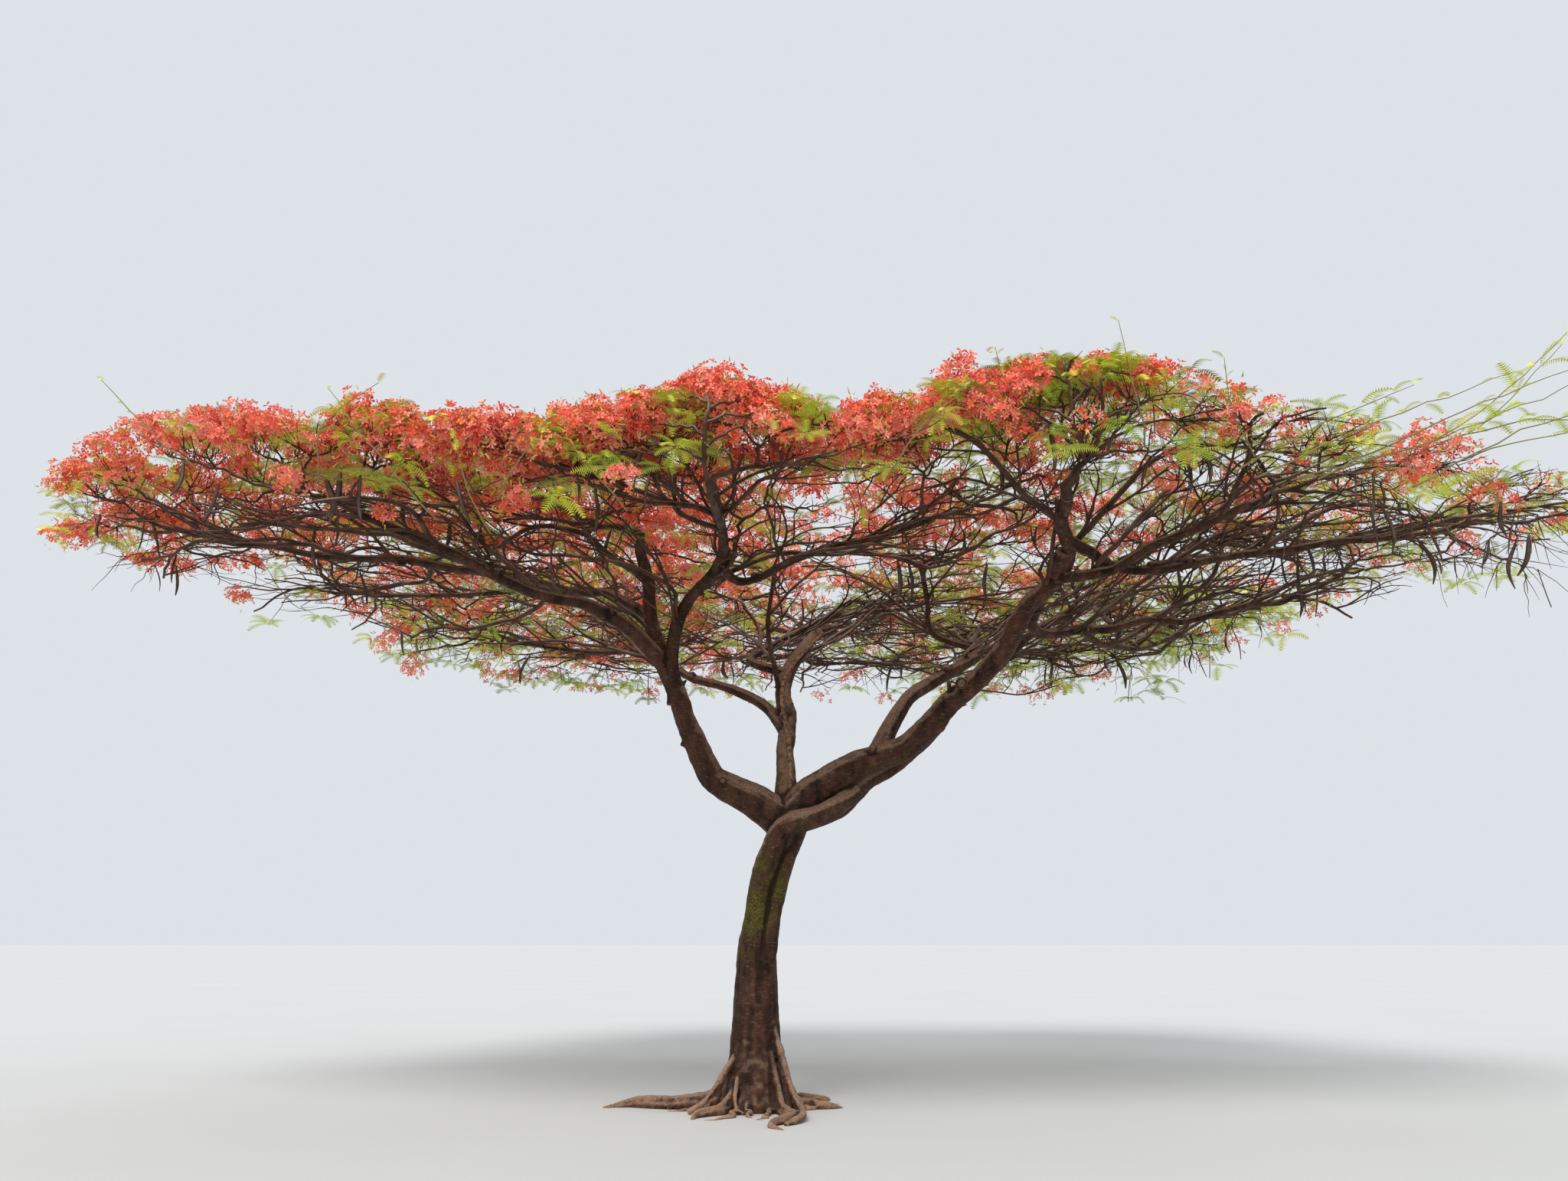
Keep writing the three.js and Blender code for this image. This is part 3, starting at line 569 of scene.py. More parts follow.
def axes_facing(facing, spin):
    """Gives axes whose third one is the facing, turned about it by the spin."""
    facing = unit(facing)
    helper = np.where(np.abs(facing[:, 2:3]) < 0.9, UP, np.array([1.0, 0.0, 0.0]))
    first = unit(np.cross(helper, facing))
    second = np.cross(facing, first)
    c, s = np.cos(spin)[:, None], np.sin(spin)[:, None]
    return np.stack([first * c + second * s, second * c - first * s, facing], axis=1)


def meander(places, radii, draw, step, wander):
    """Adds places between those of a twig and moves them a little aside, so that it grows crooked."""
    curve = Curve(places)
    count = max(3, int(round(curve.length / step)) + 1)
    share = np.linspace(0, 1, count)
    own = np.append(0, np.cumsum(np.linalg.norm(np.diff(places, axis=0), axis=1)))
    line = curve.at(share)
    aside = draw.normal(0, 1, (count, 3)) * wander
    aside[0] = aside[-1] = 0
    return line + aside, np.interp(share, own / own[-1], radii)


# Materials


def new_material(name):
    """Makes a material and gives its tree of nodes and its shader."""
    material = bpy.data.materials.new(name)
    material.use_nodes = True
    nodes = material.node_tree.nodes
    return material, nodes, nodes["Principled BSDF"], material.node_tree.links


def object_noise(nodes, links, scale, detail=6.0, stretch=(1, 1, 1), rough=0.55):
    """Adds a noise that reads Object coordinates."""
    coordinates = nodes.new("ShaderNodeTexCoord")
    mapping = nodes.new("ShaderNodeMapping")
    mapping.inputs["Scale"].default_value = stretch
    noise = nodes.new("ShaderNodeTexNoise")
    noise.inputs["Scale"].default_value = scale
    noise.inputs["Detail"].default_value = detail
    noise.inputs["Roughness"].default_value = rough
    links.new(coordinates.outputs["Object"], mapping.inputs["Vector"])
    links.new(mapping.outputs["Vector"], noise.inputs["Vector"])
    return noise.outputs["Fac"]


def ramp(nodes, links, value, stops):
    """Adds a ramp of colours to a value."""
    node = nodes.new("ShaderNodeValToRGB")
    elements = node.color_ramp.elements
    while len(elements) < len(stops):
        elements.new(0.5)
    for element, (place, colour) in zip(elements, stops):
        element.position = place
        element.color = (*colour[:3], 1)
    links.new(value, node.inputs["Fac"])
    return node.outputs["Color"]


def mix(nodes, links, share, first, second):
    """Mixes two colours by a share. Each of the two may be a socket or a fixed colour."""
    node = nodes.new("ShaderNodeMix")
    node.data_type = "RGBA"
    links.new(share, node.inputs[0])
    for socket, value in ((node.inputs[6], first), (node.inputs[7], second)):
        if isinstance(value, bpy.types.NodeSocket):
            links.new(value, socket)
        else:
            socket.default_value = (*value[:3], 1)
    return node.outputs[2]


def bump(nodes, links, shader, heights):
    """Adds bumps one on the other: pairs of a height and its depth in metres."""
    normal = None
    for height, depth in heights:
        node = nodes.new("ShaderNodeBump")
        node.inputs["Distance"].default_value = depth
        node.inputs["Strength"].default_value = 1.0
        links.new(height, node.inputs["Height"])
        if normal:
            links.new(normal, node.inputs["Normal"])
        normal = node.outputs["Normal"]
    links.new(normal, shader.inputs["Normal"])


def times(nodes, links, first, second):
    """Multiplies two shares."""
    node = nodes.new("ShaderNodeMath")
    node.operation = "MULTIPLY"
    links.new(first, node.inputs[0])
    links.new(second, node.inputs[1])
    return node.outputs["Value"]


def height_share(nodes, links, low, high):
    """Goes from 0 to 1 between two heights."""
    coordinates = nodes.new("ShaderNodeTexCoord")
    split = nodes.new("ShaderNodeSeparateXYZ")
    spread = nodes.new("ShaderNodeMapRange")
    spread.inputs["From Min"].default_value = low
    spread.inputs["From Max"].default_value = high
    links.new(coordinates.outputs["Object"], split.inputs["Vector"])
    links.new(split.outputs["Z"], spread.inputs["Value"])
    return spread.outputs["Result"]


def read_mark(nodes, mark):
    """Adds a node that reads a share stored at each point of the piece."""
    node = nodes.new("ShaderNodeAttribute")
    node.attribute_name = mark
    return node.outputs["Fac"]


def grey(share):
    """Gives a share as a colour, for a ramp."""
    return share, share, share


def bark_material(name, settings, mossy):
    """Makes damp red-brown bark: wet streaks, level rows of pores, worn ridges, moss and an earthy foot, with
    a painted highlight on the sides that face up and painted shade in the hollows.
    """
    material, nodes, shader, links = new_material(name)
    broad = object_noise(nodes, links, 2.6, 5)
    streaks = object_noise(nodes, links, 6.0, 9, (1, 1, 0.3), 0.65)
    specks = object_noise(nodes, links, 75.0, 4)
    pores = object_noise(nodes, links, 26.0, 4, (0.6, 0.6, 3.4), 0.6)
    ridge, upward = read_mark(nodes, "ridge"), read_mark(nodes, "upward")
    body = ramp(nodes, links, streaks,
                [(0.34, settings.bark_dark_and_hollow_shade), (0.5, settings.bark), (0.7, settings.bark_red)])
    pore_share = ramp(nodes, links, pores, [(0.58, grey(0)), (0.68, grey(0.35))])
    body = mix(nodes, links, pore_share, body, settings.bark_pale_and_top_highlight)
    foot_share = ramp(nodes, links, height_share(nodes, links, -0.1, 0.9),
                      [(0.15, grey(0.9)), (0.5, grey(0.25)), (1.0, grey(0))])
    foot = ramp(nodes, links, streaks, [(0.36, settings.foot_dark), (0.6, settings.foot)])
    body = mix(nodes, links, foot_share, body, foot)
    patches = ramp(nodes, links, broad, [(0.46, grey(0)), (0.6, grey(mossy))])
    above = ramp(nodes, links, height_share(nodes, links, 0.3, 4.6),
                 [(0.0, grey(0.03)), (0.26, grey(0.08)), (0.31, grey(1)), (0.5, grey(0.85)), (0.6, grey(0.2)),
                  (1.0, grey(0.06))])
    moss = ramp(nodes, links, specks, [(0.4, settings.moss_dark), (0.62, settings.moss)])
    body = mix(nodes, links, times(nodes, links, patches, above), body, moss)
    # Painted highlight: the pale bark colour on the sides that face up, broken by specks
    top_highlight_share = ramp(nodes, links, upward, [(0.57, grey(0)), (0.71, grey(1))])
    highlight_specks = ramp(nodes, links, specks, [(0.36, grey(0.3)), (0.6, grey(1))])
    body = mix(nodes, links, times(nodes, links, top_highlight_share, highlight_specks), body, settings.bark_pale_and_top_highlight)
    # Painted shade: the hollows of the bark are darkened with the dark bark colour
    hollow_shade_share = ramp(nodes, links, ridge, [(0.25, grey(0.85)), (0.47, grey(0))])
    body = mix(nodes, links, hollow_shade_share, body, settings.bark_dark_and_hollow_shade)
    ridge_share = ramp(nodes, links, ridge, [(0.56, grey(0)), (0.77, grey(0.85))])
    rooty = ramp(nodes, links, height_share(nodes, links, 0.1, 1.5),
                 [(0.0, grey(1)), (0.45, grey(0.75)), (1.0, grey(0.3))])
    pale_colour = mix(nodes, links, height_share(nodes, links, 0.2, 0.9), settings.root_pale_and_strand_highlight, settings.bark_pale_and_top_highlight)
    body = mix(nodes, links, times(nodes, links, ridge_share, rooty), body, pale_colour)
    links.new(body, shader.inputs["Base Color"])
    wet = ramp(nodes, links, broad, [(0.35, grey(0.5)), (0.62, grey(0.75))])
    links.new(wet, shader.inputs["Roughness"])
    shader.inputs["Specular IOR Level"].default_value = 0.12
    bump(nodes, links, shader, [(pores, 0.008), (specks, 0.004), (streaks, 0.022)])
    return material


def twig_material(name, settings):
    """Makes the bark of twigs: brown, with a painted highlight on the sides that face up, and a fine grain.
    """
    material, nodes, shader, links = new_material(name)
    waver = object_noise(nodes, links, 5.0, 3)
    grain = object_noise(nodes, links, 90.0, 2)
    body = ramp(nodes, links, waver, [(0.38, settings.twig), (0.62, settings.twig_red)])
    # Painted highlight: the pale twig colour on the sides that face up
    top_highlight_share = ramp(nodes, links, read_mark(nodes, "upward"), [(0.44, grey(0.04)), (0.76, grey(1))])
    patchy = ramp(nodes, links, waver, [(0.3, grey(0.35)), (0.65, grey(1))])
    body = mix(nodes, links, times(nodes, links, top_highlight_share, patchy), body, settings.twig_top_highlight)
    links.new(body, shader.inputs["Base Color"])
    shader.inputs["Roughness"].default_value = 0.65
    shader.inputs["Specular IOR Level"].default_value = 0.15
    bump(nodes, links, shader, [(grain, 0.003)])
    return material


def tinted_material(name, colour, other, roughness, grain=7.0):
    """Makes a soft plant material whose colour wavers between two tints, with a fine bump."""
    material, nodes, shader, links = new_material(name)
    waver = object_noise(nodes, links, grain, 3)
    crinkle = object_noise(nodes, links, 90.0, 2)
    tint = ramp(nodes, links, waver, [(0.38, colour), (0.62, other)])
    links.new(tint, shader.inputs["Base Color"])
    shader.inputs["Roughness"].default_value = roughness
    shader.inputs["Specular IOR Level"].default_value = 0.25
    bump(nodes, links, shader, [(crinkle, 0.002)])
    return material


def finish_piece(obj, material, replaced=()):
    """Gives a piece its material, hangs it from the root body and hides the solids that it stands for."""
    obj.data.materials.clear()
    obj.data.materials.append(material)
    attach(obj, "root")
    if replaced:
        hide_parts(*replaced)
    return obj


# Settings that a user may change


def colour(name, description, default):
    """Declares a colour setting."""
    return bpy.props.FloatVectorProperty(name=name, description=description, default=default, subtype="COLOR",
                                         size=3, min=0, max=1)


def length(name, description, default):
    """Declares a length setting."""
    return bpy.props.FloatProperty(name=name, description=description, default=default, min=0, unit="LENGTH")


class FlameTreeBark(bpy.types.PropertyGroup):
    """Sizes and colours of the bark."""

    trunk_mesh: length("Trunk mesh", "Size of the trunk's mesh cells", 0.0145)
    bough_mesh: length("Bough mesh", "Size of the smaller boughs' mesh cells", 0.0125)
    relief: length("Relief", "Depth of the lumps and hollows in the bark", 0.03)
    bark: colour("Bark", "Main colour of the bark", (0.054, 0.0235, 0.0145))
    # The dark bark colour also paints shade into the hollows of the bark
    bark_dark_and_hollow_shade: colour("Bark, dark", "Colour of the wet streaks", (0.014, 0.0065, 0.004))
    bark_red: colour("Bark, red", "Colour of the drier, redder bark", (0.112, 0.047, 0.029))
    # The pale bark colour is also the painted highlight on the sides that face up
    bark_pale_and_top_highlight: colour("Bark, pale", "Colour of the worn ridges and pores", (0.34, 0.215, 0.145))
    foot: colour("Foot", "Earthy colour of the trunk's foot", (0.115, 0.047, 0.023))
    foot_dark: colour("Foot, dark", "Colour of the hollows between the roots", (0.032, 0.013, 0.007))
    # The pale root colour also tints the strand of painted highlight on the middle bough
    root_pale_and_strand_highlight: colour("Roots, pale", "Colour of the worn backs of the roots", (0.4, 0.235, 0.135))
    moss: colour("Moss", "Colour of the moss", (0.165, 0.145, 0.024))
    moss_dark: colour("Moss, dark", "Colour of the moss's shade", (0.03, 0.029, 0.008))
    scar: colour("Scar", "Colour of bare wood where a bough was cut off", (0.2, 0.13, 0.085))


class FlameTreeTwigs(bpy.types.PropertyGroup):
    """Sizes and colours of the twigs."""

    branch_spacing: length("Branch spacing", "Distance between the branches along a bough", 0.55)
    branch_reach: length("Branch reach", "Length of a branch", 2.6)
    long_spacing: length("Long twig spacing", "Distance between the long twigs along a bough or branch", 0.4)
    long_reach: length("Long twig reach", "Length of a long twig", 1.5)
    side_spacing: length("Side twig spacing", "Distance between the side twigs on a long one", 0.3)
    side_reach: length("Side twig reach", "Length of a side twig", 0.75)
    end_spacing: length("End twig spacing", "Distance between the last twigs", 0.4)
    end_reach: length("End twig reach", "Length of a last twig", 0.33)
    twig: colour("Twigs", "Colour of the twigs", (0.034, 0.017, 0.01))
    twig_red: colour("Twigs, red", "Colour of the redder twigs", (0.09, 0.045, 0.03))
    # Colour of the painted highlight on the upper sides of the twigs
    twig_top_highlight: colour("Twigs, pale", "Colour of the sides that face up", (0.36, 0.255, 0.19))
    shoot: colour("Shoots", "Colour of the young green shoots", (0.2, 0.2, 0.07))


class FlameTreeBlossom(bpy.types.PropertyGroup):
    """Sizes and colours of the blossom."""

    flower_width: length("Flower width", "Width of one open flower", 0.086)
    head_radius: length("Head radius", "Radius of a head of flowers", 0.16)
    flowers: bpy.props.IntProperty(name="Flowers", description="Flowers in one head", default=23, min=1)
    scarlet: colour("Scarlet", "Main red of the petals", (0.9, 0.145, 0.085))
    coral: colour("Coral", "Lighter red of the petals", (0.95, 0.24, 0.175))
    orange: colour("Orange", "Orange petals", (0.9, 0.25, 0.09))
    crimson: colour("Crimson", "Older, darker petals", (0.7, 0.066, 0.048))
    blush: colour("Blush", "Palest petals", (0.94, 0.33, 0.25))
    bud: colour("Bud", "Green buds and sepals", (0.46, 0.45, 0.07))


class FlameTreeLeaves(bpy.types.PropertyGroup):
    """Sizes and colours of the leaves."""

    leaf_length: length("Leaf length", "Length of one feathery leaf", 0.3)
    pairs: bpy.props.IntProperty(name="Pairs", description="Pairs of side blades on one leaf", default=12,
                                 min=3)
    lime: colour("Lime", "Main colour of the young leaves", (0.53, 0.64, 0.05))
    # A tint of painted sunlight, dealt more to the upper layer and to the shoots
    sunlit_yellow: colour("Yellow", "Leaves in the sun", (0.72, 0.78, 0.09))
    fresh: colour("Fresh", "Greener leaves", (0.38, 0.52, 0.045))
    # A tint of painted shade, dealt more to the lower layer
    shaded_olive: colour("Olive", "Leaves in the shade", (0.26, 0.3, 0.035))


class FlameTreePods(bpy.types.PropertyGroup):
    """Sizes and colours of the pods."""

    pod_length: length("Pod length", "Length of one pod", 0.48)
    pod_width: length("Pod width", "Width of one pod", 0.048)
    count: bpy.props.IntProperty(name="Count", description="Number of pods", default=150, min=0)
    pod: colour("Pod", "Colour of the dry pods", (0.055, 0.034, 0.027))


class FlameTreeStage(bpy.types.PropertyGroup):
    """Floor, light and camera."""

    floor: colour("Floor", "Colour of the floor", (0.62, 0.62, 0.6))
    sky: colour("Sky", "Colour of the soft light from all round", (0.86, 0.9, 0.95))
    sky_strength: bpy.props.FloatProperty(name="Sky strength", description="Strength of that soft light",
                                          default=0.85, min=0)
    key_strength: bpy.props.FloatProperty(name="Key strength", description="Strength of the main light",
                                          default=2.2, min=0)
    eye_height: length("Eye height", "Height of the camera", 1.7)
    distance: length("Distance", "Distance of the camera from the trunk", 13.0)
    aside: length("Aside", "How far the camera stands to the right of the trunk", 0.29)
    pitch: bpy.props.FloatProperty(name="Pitch", description="How far the camera looks up",
                                   default=math.radians(16.3), subtype="ANGLE")


# Trunk and boughs

MAIN_LIMBS = ("left_bough", "right_bough", "middle_bough", "back_bough")
LIMB_TAPER = 0.8
# How crooked a limb is: distance between its bends, how far they stand aside, and how much it swells there
LIMB_BENDS = {"spacing": 0.4, "aside": 0.13, "least": 0.02, "swell": 0.06}
STEM_SLIMMER = ([1.0, 1.8, 2.9], [1, 0.93, 0.9])  # heights, and the share of the trunk's girth there
BELOW_GROUND = -0.12  # the stem starts here, and is then cut flat at ground level
GROUND_CUT = 0.0005
# Strands that run up the trunk and on into the fork's limbs: places and radii
STRANDS = [
    ([(-0.05, -0.13, 0.75), (-0.05, -0.12, 1.3), (-0.02, -0.12, 1.8), (0.05, -0.13, 2.25),
      (0.15, -0.16, 2.55), (0.24, -0.2, 2.74), (0.38, -0.25, 2.86), (0.62, -0.26, 2.92),
      (0.86, -0.18, 3.03), (1.08, 0.02, 3.2)],
     [0.1, 0.125, 0.12, 0.115, 0.12, 0.13, 0.12, 0.11, 0.11, 0.1]),
    ([(0.1, -0.06, 1.0), (0.11, -0.07, 1.6), (0.21, -0.06, 2.15), (0.34, -0.02, 2.6), (0.46, 0.0, 3.0)],
     [0.09, 0.115, 0.105, 0.11, 0.15]),
    ([(-0.02, 0.1, 0.6), (0.0, 0.09, 1.6), (0.16, 0.08, 2.3), (0.3, 0.1, 2.8), (0.34, 0.25, 3.3)],
     [0.12, 0.12, 0.1, 0.11, 0.11]),
]
# The limb that swings forward and down before the fork: where along X, how widely and how far
FRONT_LIMB = {"limb": "back_bough", "where": 0.65, "spread": 0.4, "forward": 0.07}
ROOT_ELBOW = 0.42  # how far from the trunk's middle a root meets the ground
# Sharp worn ridges that run down the foot and out along the front roots: places and radii at the two ends
ROOT_RIDGES = [
    ([(0.12, -0.07, 0.95), (0.24, -0.2, 0.6), (0.33, -0.3, 0.3), (0.42, -0.42, 0.13), (0.47, -0.7, 0.07),
      (0.44, -0.95, 0.045), (0.3, -1.15, 0.01)], (0.045, 0.034)),
    ([(-0.14, -0.1, 0.62), (-0.33, -0.24, 0.33), (-0.42, -0.32, 0.2), (-0.52, -0.38, 0.1),
      (-0.66, -0.42, 0.02)], (0.04, 0.028)),
    ([(-0.18, -0.24, 0.34), (-0.19, -0.42, 0.1), (-0.11, -0.48, 0.01)], (0.028, 0.02)),
]
ROOTLETS = 9
# Knots and burls on the trunk and the fork: place and half sizes
KNOTS = [
    ((0.04, -0.27, 0.17), (0.09, 0.08, 0.15)), ((1.3, -0.12, 3.5), (0.1, 0.08, 0.07)),
    ((0.2, -0.21, 2.64), (0.05, 0.06, 0.09)), ((1.95, -0.27, 3.9), (0.11, 0.09, 0.1)),
    ((0.27, 0.6, 4.2), (0.1, 0.08, 0.11)), ((-0.86, -0.13, 4.1), (0.07, 0.09, 0.1)),
]
# Where boughs were cut off: place, the way the cut faces, and its radius
SCARS = [
    ((2.2, -0.56, 4.3), (-0.35, -0.9, -0.05), 0.052), ((-0.37, -0.235, 3.3), (-0.15, -0.95, 0.05), 0.032),
    ((0.3, 0.36, 4.1), (0.3, -0.9, 0.1), 0.034),
]
FACES_KEPT = {"trunk": 0.52, "boughs": 0.37}  # the share of its faces that a skin keeps
SOFT_ROUNDS = 14  # how often the bark is evened out to find its ridges
RIDGE_HEIGHT = 0.014  # a point that stands this far out is a ridge to the full


def deselect_all():
    """Deselects everything, the solids too."""
    bpy.ops.object.select_all(action="DESELECT")


def select_only(*objects):
    """Selects some objects and nothing else, and makes the first one active."""
    deselect_all()
    for obj in objects:
        obj.select_set(True)
    bpy.context.view_layer.objects.active = objects[0]


def limb_object(name, places, radii, sides):
    """Models one limb as a curve with its own thickness at each point, and makes it a mesh."""
    deselect_all()
    bpy.ops.curve.primitive_nurbs_path_add(location=(0, 0, 0))
    limb = bpy.context.object
    limb.name = name
    data = limb.data
    data.splines.clear()
    spline = data.splines.new("POLY")
    spline.points.add(len(places) - 1)
    for point, place, radius in zip(spline.points, places, radii):
        point.co = (*place, 1)
        point.radius = radius
    data.dimensions = "3D"
    data.bevel_depth = 1.0
    data.bevel_resolution = sides // 4
    data.use_fill_caps = True
    bpy.ops.object.convert(target="MESH")
    return bpy.context.object


def limb_rings(limb, spacing, draw, collar=0.22):
    """Gives the places and radii along a limb: a little crooked, and thicker where it grips its parent."""
    base, tip = limb["thick"]
    count = max(5, int(limb["curve"].length / spacing))
    share = np.linspace(0, 1, count)
    radius = base + (tip - base) * share ** LIMB_TAPER
    radius = radius * (1 + collar * np.exp(-share * limb["curve"].length / (1.8 * base)))
    bends = np.linspace(0, 1, max(4, int(limb["curve"].length / LIMB_BENDS["spacing"])))
    aside = draw.normal(0, LIMB_BENDS["aside"] * base + LIMB_BENDS["least"], (len(bends), 3))
    aside[0] = aside[-1] = 0
    swell = draw.normal(0, LIMB_BENDS["swell"], len(bends))
    wander = np.stack([np.interp(share, bends, aside[:, axis]) for axis in range(3)], axis=1)
    return limb["curve"].at(share) + wander, radius * (1 + np.interp(share, bends, swell))


def trunk_rings():
    """Gives the places and radii along the trunk, a little slimmer than its strands."""
    curve = tree_plan()["limbs"]["trunk"]["curve"]
    share = np.linspace(0, 1, 60)
    places = curve.at(share)
    heights, girths = zip(*TRUNK_GIRTH)
    radii = np.interp(places[:, 2], heights, girths) * np.interp(places[:, 2], *STEM_SLIMMER)
    places[0, 2] = BELOW_GROUND
    return places, radii


def root_rings(bearing, rise, reach, thick, bend):
    """Gives the places and radii along a surface root, from the trunk's side out along the ground."""
    near, far = math.radians(bearing), math.radians(bearing + bend)
    middle = (near + far) / 2

    def out(angle, distance, height):
        return math.cos(angle) * distance, math.sin(angle) * distance, height

    curve = Curve([
        out(near, 0.09, rise), out(near, 0.25, rise * 0.42), out(near, ROOT_ELBOW, thick * 0.7),
        out(middle + 0.06, ROOT_ELBOW + 0.3 * (reach - ROOT_ELBOW), thick * 0.5),
        out(middle, (reach + ROOT_ELBOW) / 2, thick * 0.4),
        out(far - 0.07, ROOT_ELBOW + 0.78 * (reach - ROOT_ELBOW), thick * 0.22),
        out(far, reach, -thick * 0.2),
    ])
    share = np.linspace(0, 1, 34)
    return curve.at(share), thick * (1 - 0.66 * share ** 1.2) * (1 + 0.08 * np.sin(share * 17 + bearing))


def root_objects(root):
    """Models a root as a narrow back over a wider skirt, so that it stands like a worn ridge."""
    places, radii = root_rings(*root)
    heading = unit(np.gradient(places, axis=0))
    level = unit(np.cross(heading, UP))
    outward = np.cross(level, heading)
    back = limb_object("root_back", places + outward * radii[:, None] * 0.5, radii * 0.5, 16)
    skirt = limb_object("root_skirt", places - outward * radii[:, None] * 0.35, radii * 0.95, 16)
    return [back, skirt]


def rootlet_rings(draw):
    """Gives the places and radii along a thin root that winds over the ground near the foot."""
    bearing = draw.uniform(0, 2 * math.pi)
    distance = np.linspace(0.3, draw.uniform(0.75, 1.15), 12)
    angle = bearing + np.cumsum(draw.normal(0, 0.09, 12))
    height = np.linspace(0.05, -0.02, 12)
    places = np.stack([np.cos(angle) * distance, np.sin(angle) * distance, height], axis=1)
    return places, np.linspace(0.038, 0.016, 12)


def join(objects, name):
    """Joins objects into one piece."""
    select_only(*objects)
    bpy.ops.object.join()
    piece = bpy.context.object
    piece.name = name
    return piece


def apply_modifiers(obj):
    """Applies all modifiers of an object, in order."""
    select_only(obj)
    for modifier in list(obj.modifiers):
        bpy.ops.object.modifier_apply(modifier=modifier.name)


def knot(place, size):
    """Adds a knot, a long lump that the bark grows over."""
    deselect_all()
    bpy.ops.mesh.primitive_ico_sphere_add(subdivisions=3, radius=1, location=place, scale=size)
    bpy.ops.object.transform_apply(location=True, rotation=True, scale=True)
    return bpy.context.object


def stub(limb, share, draw):
    """Models the stub of a broken twig on a limb."""
    start, heading = limb["curve"].at(share), limb["curve"].heading(share)
    thick = np.interp(share, [0, 1], limb["thick"])
    way = unit(unit(np.cross(heading, draw.normal(0, 1, 3))) + 0.7 * heading)
    reach = thick + draw.uniform(0.03, 0.11)
    places = np.array([start, start + 0.6 * reach * way, start + reach * way + [0, 0, 0.02]])
    return limb_object("stub", places, thick * np.array([0.36, 0.25, 0.17]), 8)


def places_and_normals(mesh):
    """Gives the place and the normal of each point of a mesh."""
    count = len(mesh.vertices)
    places, normals = np.empty(count * 3, np.float32), np.empty(count * 3, np.float32)
    mesh.vertices.foreach_get("co", places)
    mesh.vertices.foreach_get("normal", normals)
    return places.reshape(-1, 3).astype(float), normals.reshape(-1, 3)


def store_mark(mesh, name, values):
    """Stores a share at each point of a mesh, for its material to read."""
    mark = mesh.attributes.new(name, "FLOAT", "POINT")
    mark.data.foreach_set("value", np.clip(values, 0, 1).astype(np.float32))


def mark_upward(piece):
    """Stores how far each point faces up, from which the materials paint a highlight on the upper sides."""
    _, normals = places_and_normals(piece.data)
    store_mark(piece.data, "upward", 0.5 + 0.5 * normals[:, 2])


def mark_ridges(piece):
    """Stores how far each point stands out from its surroundings."""
    mesh = piece.data
    places, normals = places_and_normals(mesh)
    count = len(places)
    edges = np.empty(len(mesh.edges) * 2, np.int32)
    mesh.edges.foreach_get("vertices", edges)
    one, other = edges.reshape(-1, 2).T
    neighbours = np.bincount(edges, minlength=count)
    soft = places.copy()
    for _ in range(SOFT_ROUNDS):
        for axis in range(3):
            total = np.bincount(one, soft[other, axis], count) + np.bincount(other, soft[one, axis], count)
            soft[:, axis] = 0.5 * soft[:, axis] + 0.5 * total / neighbours
    out = np.sum((places - soft) * normals, axis=1)
    store_mark(mesh, "ridge", 0.5 + 0.5 * (out - np.median(out)) / RIDGE_HEIGHT)


def weather(piece, cell, relief, keep):
    """Blends joined limbs into one skin, softens its crotches, raises its lumps and thins out its faces."""
    remesh = piece.modifiers.new("Blend", "REMESH")
    remesh.mode = "VOXEL"
    remesh.voxel_size = cell
    remesh.use_smooth_shade = True
    soften = piece.modifiers.new("Soften", "SMOOTH")
    soften.factor = 0.5
    soften.iterations = 2
    for name, grain, depth in (("Lumps", 0.34, relief), ("Ripples", 0.09, relief * 0.45)):
        texture = bpy.data.textures.new(name, "CLOUDS")
        texture.noise_scale = grain
        texture.noise_depth = 2
        raise_bark = piece.modifiers.new(name, "DISPLACE")
        raise_bark.texture = texture
        raise_bark.texture_coords = "LOCAL"
        raise_bark.mid_level = 0.5
        raise_bark.strength = depth
    thin = piece.modifiers.new("Thin", "DECIMATE")
    thin.ratio = keep
    apply_modifiers(piece)
    piece.data.validate()
    mark_upward(piece)
    mark_ridges(piece)


def cut_at_ground(piece):
    """Cuts a piece flat at ground level and closes the cut."""
    bpy.ops.object.mode_set(mode="EDIT")
    bpy.ops.mesh.select_all(action="SELECT")
    bpy.ops.mesh.bisect(plane_co=(0, 0, GROUND_CUT), plane_no=(0, 0, 1), use_fill=True, clear_inner=True)
    bpy.ops.object.mode_set(mode="OBJECT")


def strand_objects():
    """Models the strands that run up the trunk."""
    objects = []
    for places, radii in STRANDS:
        share = np.linspace(0, 1, 30)
        thick = np.interp(share, np.linspace(0, 1, len(radii)), radii)
        objects.append(limb_object("strand", Curve(places).at(share), thick, 16))
    return objects


def ridge_objects():
    """Models the worn ridges of the front roots, each thin where it starts."""
    objects = []
    for places, (near, far) in ROOT_RIDGES:
        share = np.linspace(0, 1, 26)
        thick = np.interp(share, [0, 0.25, 1], [0.5 * near, near, far])
        objects.append(limb_object("root_ridge", Curve(places).at(share), thick, 12))
    return objects


def fork_objects(limbs, draw):
    """Models the fork's four limbs, each with the stubs of some broken twigs."""
    objects = []
    for name in MAIN_LIMBS:
        places, radii = limb_rings(limbs[name], 0.06, draw)
        if name == FRONT_LIMB["limb"]:
            near = np.exp(-((places[:, 0] - FRONT_LIMB["where"]) / FRONT_LIMB["spread"]) ** 2)
            places[:, 1:] -= FRONT_LIMB["forward"] * near[:, None]
        objects.append(limb_object(name, places, radii, 20))
        objects += [stub(limbs[name], share, draw) for share in draw.uniform(0.15, 0.75, 5)]
    return objects


